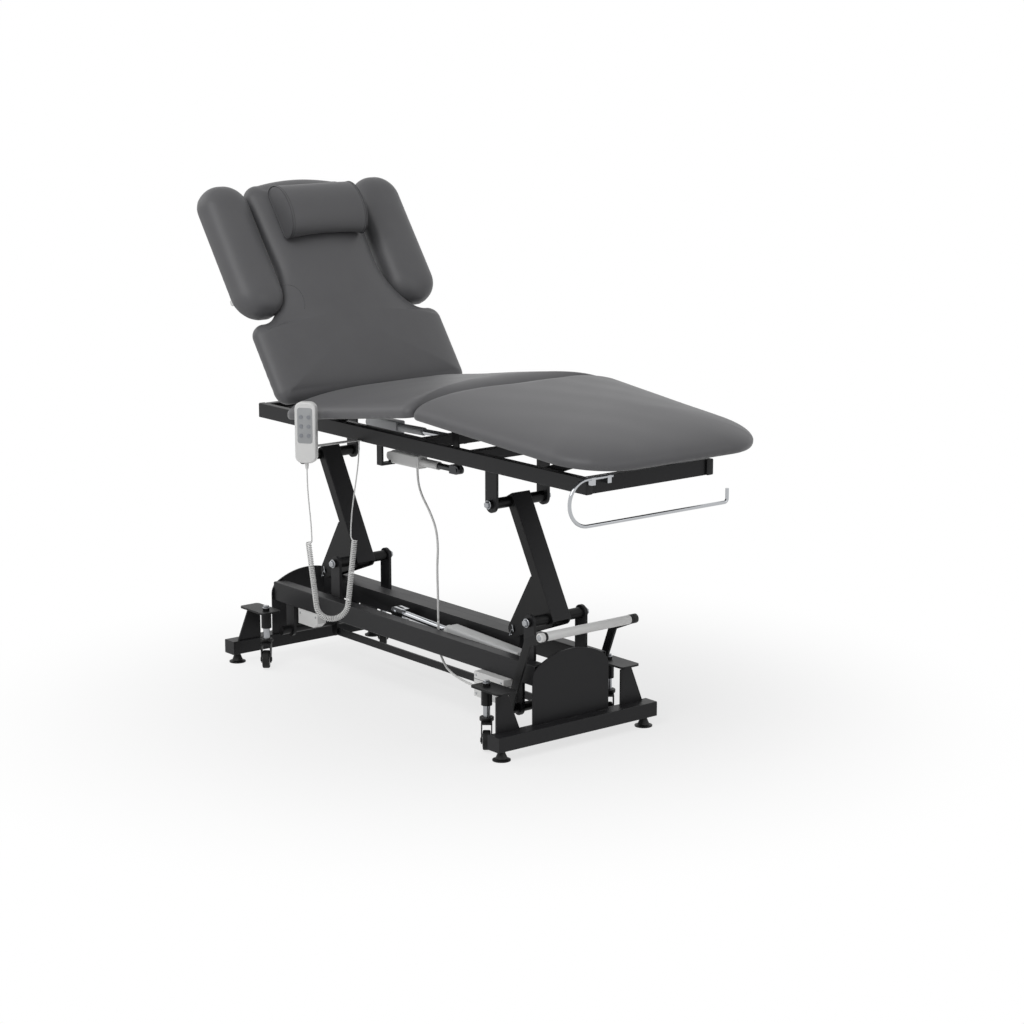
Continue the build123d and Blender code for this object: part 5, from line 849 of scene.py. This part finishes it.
SIDES = ((-1, "near"), (1, "far"))
ENDS = ((1, "front"), (-1, "rear"))
for body, back in (("front_leg", 0.0), ("rear_leg", LEG_SPACING)):
    for side, word in SIDES:
        bolt(f"{body}_foot_bolt_{word}", (FRONT_LEG_X - back, side * LEG_SHAFT_END, LEG_FOOT_Z), (0, side, 0),
             body, 9.0)
        bolt(f"{body}_top_bolt_{word}", (LEG_TOP[0] - back, side * LEG_SHAFT_END, LEG_TOP[1]), (0, side, 0),
             body, 9.0)
for end, end_word in ENDS:
    for side, word in SIDES:
        bolt(f"castor_bolt_{end_word}_{word}", (end * CASTOR_X, side * CASTOR_Y, CASTOR_TOP), (0, 0, 1),
             "base", 8.0)
print("bolts made")

# %% Spring clips on the tie bar's pins
CLIP_R = 0.0012  # in metres
CLIP_HALF, CLIP_RISE, CLIP_LONG, CLIP_WAVE = 9.0, 8.0, 26.0, 5.0
for body, back in (("front_leg", 0.0), ("rear_leg", LEG_SPACING)):
    t = np.linspace(0, 1, 48)
    loop = np.stack([TIE_PIN[0] - back + CLIP_HALF * np.sin(2 * math.pi * t) * (0.4 + t),
                     np.full(len(t), TIE_PIN[1]),
                     TIE_PIN[2] + CLIP_RISE - CLIP_LONG * t + CLIP_WAVE * np.cos(4 * math.pi * t)], axis=1)
    rope(f"{body}_clip", to_row(loop), CLIP_R, body, zinc_plate, closed=False)

# %% Pedal sleeve and caps
for name, y0, y1, r, material, slot in (
        ("sleeve", -136.5, 136.5, 11.5, white_abs, "white_plastic"),
        ("near_cap", -157.0, -143.5, 11.6, white_abs, "white_plastic"),
        ("near_disc", -158.2, -156.6, 7.5, zinc_plate, "zinc"),
        ("far_cap", 143.5, 158.5, 12.0, black_nylon, "black_plastic")):
    soft = min(1.5, (y1 - y0) / 3)
    lathe(f"pedal_{name}",
          [(0, 0), (r - soft, 0), (r - 0.3 * soft, 0.3 * soft), (r, soft), (r, y1 - y0 - soft),
           (r - 0.3 * soft, y1 - y0 - 0.3 * soft), (r - soft, y1 - y0), (0, y1 - y0)],
          (PEDAL_BAR[0], y0, PEDAL_BAR[1]), (0, 1, 0), "pedal", material, crisp=50.0)

# %% Castor hubs and collars
HUB = [(0, 0), (16.5, 0), (17.0, 0.3), (16.5, 0.6), (12.0, 0.35), (7.0, 0.6), (0, 0.6)]
COLLAR = [(9.4, 0), (17.6, 0), (18.2, 1.0), (18.2, 8.0), (17.0, 9.0), (9.4, 9.0), (9.4, 0)]
trail = (CASTOR_TRAIL * math.cos(CASTOR_TURN), -CASTOR_TRAIL * math.sin(CASTOR_TURN))
roll_axis = np.array([math.sin(CASTOR_TURN), math.cos(CASTOR_TURN), 0.0])
for end, end_word in ENDS:
    for side, side_word in SIDES:
        name = f"{end_word}_{side_word}"
        centre = np.array([end * CASTOR_X + trail[0], side * CASTOR_Y + trail[1], WHEEL_Z])
        for word, way in (("a", -1), ("b", 1)):
            lathe(f"castor_hub_{name}_{word}", HUB, centre + roll_axis * way * WHEEL_FACE, roll_axis * way,
                  f"castor_wheel_{name}", white_abs)
        lathe(f"castor_collar_{name}", COLLAR, (end * CASTOR_X, side * CASTOR_Y, COLLAR_Z), (0, 0, 1),
              f"castor_stem_{name}", black_nylon)
print("pedal and castors dressed")


# %% Plates and blocks with softened edges
def plate(name, outline, thick, origin, u, v, body, material, edge=0.8):
    """A flat piece with a rounded rim: an outline in the plane of two directions, raised along their
    normal."""
    u, v = np.array(u, float), np.array(v, float)
    normal = np.cross(u, v)
    inner = inwards(outline)
    middle_of = outline.mean(axis=0)
    rims = [(middle_of + 0 * outline, 0.0), (outline, 0.0), (outline, thick - edge),
            (outline + inner * edge * 0.3, thick - edge * 0.3), (outline + inner * edge, thick),
            (middle_of + 0 * outline, thick)]
    grid = np.stack([flat[:, :1] * u + flat[:, 1:] * v + normal * high for flat, high in rims], axis=1)
    grid_piece(name, to_row(grid + np.array(origin, float)), body, material, crisp=40.0)


def rounded(wide, tall, corner):
    """A rounded rectangle round nought, as a closed anticlockwise line."""
    return strip_ring(-wide / 2, wide / 2, tall / 2, corner, corner, 60)


for x, out, word in ((RAIL_FOOT_X, 1, "foot"), (RAIL_HEAD_X, -1, "head")):
    for side, side_word in SIDES:
        plate(f"rail_cap_{word}_{side_word}", rounded(20.6, 39.6, 3.0), 2.6, (x, side * RAIL_Y, RAIL_Z),
              (0, out, 0), (0, 0, 1), "top_frame", black_nylon)

# %% Keypad of the handset
HAND_TURN = math.radians(38.0)
HAND_LOW = np.array([-36.0, -368.0, 668.0])  # the middle of the handset's lower end
FACE_OUT, KEYPAD_UP = 11.9, 98.0
along_face = (math.cos(HAND_TURN), math.sin(HAND_TURN), 0.0)
out_of_face = np.array([math.sin(HAND_TURN), -math.cos(HAND_TURN), 0.0])
plate("handset_keypad", rounded(40.0, 92.0, 7.0), 0.7, HAND_LOW + out_of_face * FACE_OUT + [0, 0, KEYPAD_UP],
      along_face, (0, 0, 1), "top_frame", grey_abs, edge=0.4)

# %% Seams, screws and inlet of the boxes
SEAM_R = 0.0005  # in metres
SCREW_IN = 10.0  # from the box's ends to its screws
BOX_SCREW = [(0, 0), (3.2, 0), (3.2, 0.6), (2.2, 1.3), (0, 1.6)]
JUNCTION_SCREW = [(0, 0), (3.0, 0), (3.0, 0.6), (2.0, 1.2), (0, 1.4)]
INLET = (375.2, -124.0, 142.0)
PINS_X = 371.4
corners = np.array([(BOX_X[0], BOX_Y[0]), (BOX_X[1], BOX_Y[0]), (BOX_X[1], BOX_Y[1]), (BOX_X[0], BOX_Y[1])])
line = resampled(corners, 240)
rope("control_box_seam", to_row(np.column_stack([line, np.full(len(line), LID_Z)])), SEAM_R, "base",
     dark_slot)
for x in (BOX_X[0] + SCREW_IN, BOX_X[1] - SCREW_IN):
    for z in (106.0, 154.0):
        lathe(f"box_screw_{int(x)}_{int(z)}", BOX_SCREW, (x, BOX_Y[0], z), (0, -1, 0), "base", zinc_plate,
              sides=24)
plate("inlet_insert", rounded(22.0, 16.0, 3.0), 4.0, INLET, (0, -1, 0), (0, 0, 1), "base", black_nylon)
for y, z in ((-130.0, 140.0), (-118.0, 140.0), (-124.0, 145.0)):
    plate(f"inlet_pin_{int(-y)}_{int(z)}", rounded(2.0, 4.6, 0.6), 6.0, (PINS_X, y, z), (0, -1, 0), (0, 0, 1),
          "base", zinc_plate, edge=0.4)
for x in (-446.0, -372.0):
    lathe(f"junction_screw_{int(-x)}", JUNCTION_SCREW, (x, JUNCTION_Y, 152.0), (0, -1, 0), "base", zinc_plate,
          sides=24)


# %% Weld beads
def bead(name, place, reach, body):
    """A weld bead: a flattened ball."""
    a = np.linspace(-math.pi / 2, math.pi / 2, 12)
    piece = lathe(name, np.stack([np.cos(a), np.sin(a)], axis=1), (0, 0, 0), (0, 0, 1), body, powder_coat,
                  sides=24, crisp=None)
    where = np.array([v.co[:] for v in piece.data.vertices]) - to_row(np.zeros(3))
    where = to_row(where * 1000.0 * np.array(reach) + np.array(place))
    piece.data.vertices.foreach_set("co", where.ravel())
    piece.data.update()


for k, y in enumerate((-96.0, 0.0, 96.0)):
    for end, word in ENDS:
        bead(f"weld_{word}_{k}", (end * PLATE_END_X, y, 65.0), (4.0, 16.0, 1.8), "base")
print("fittings made")
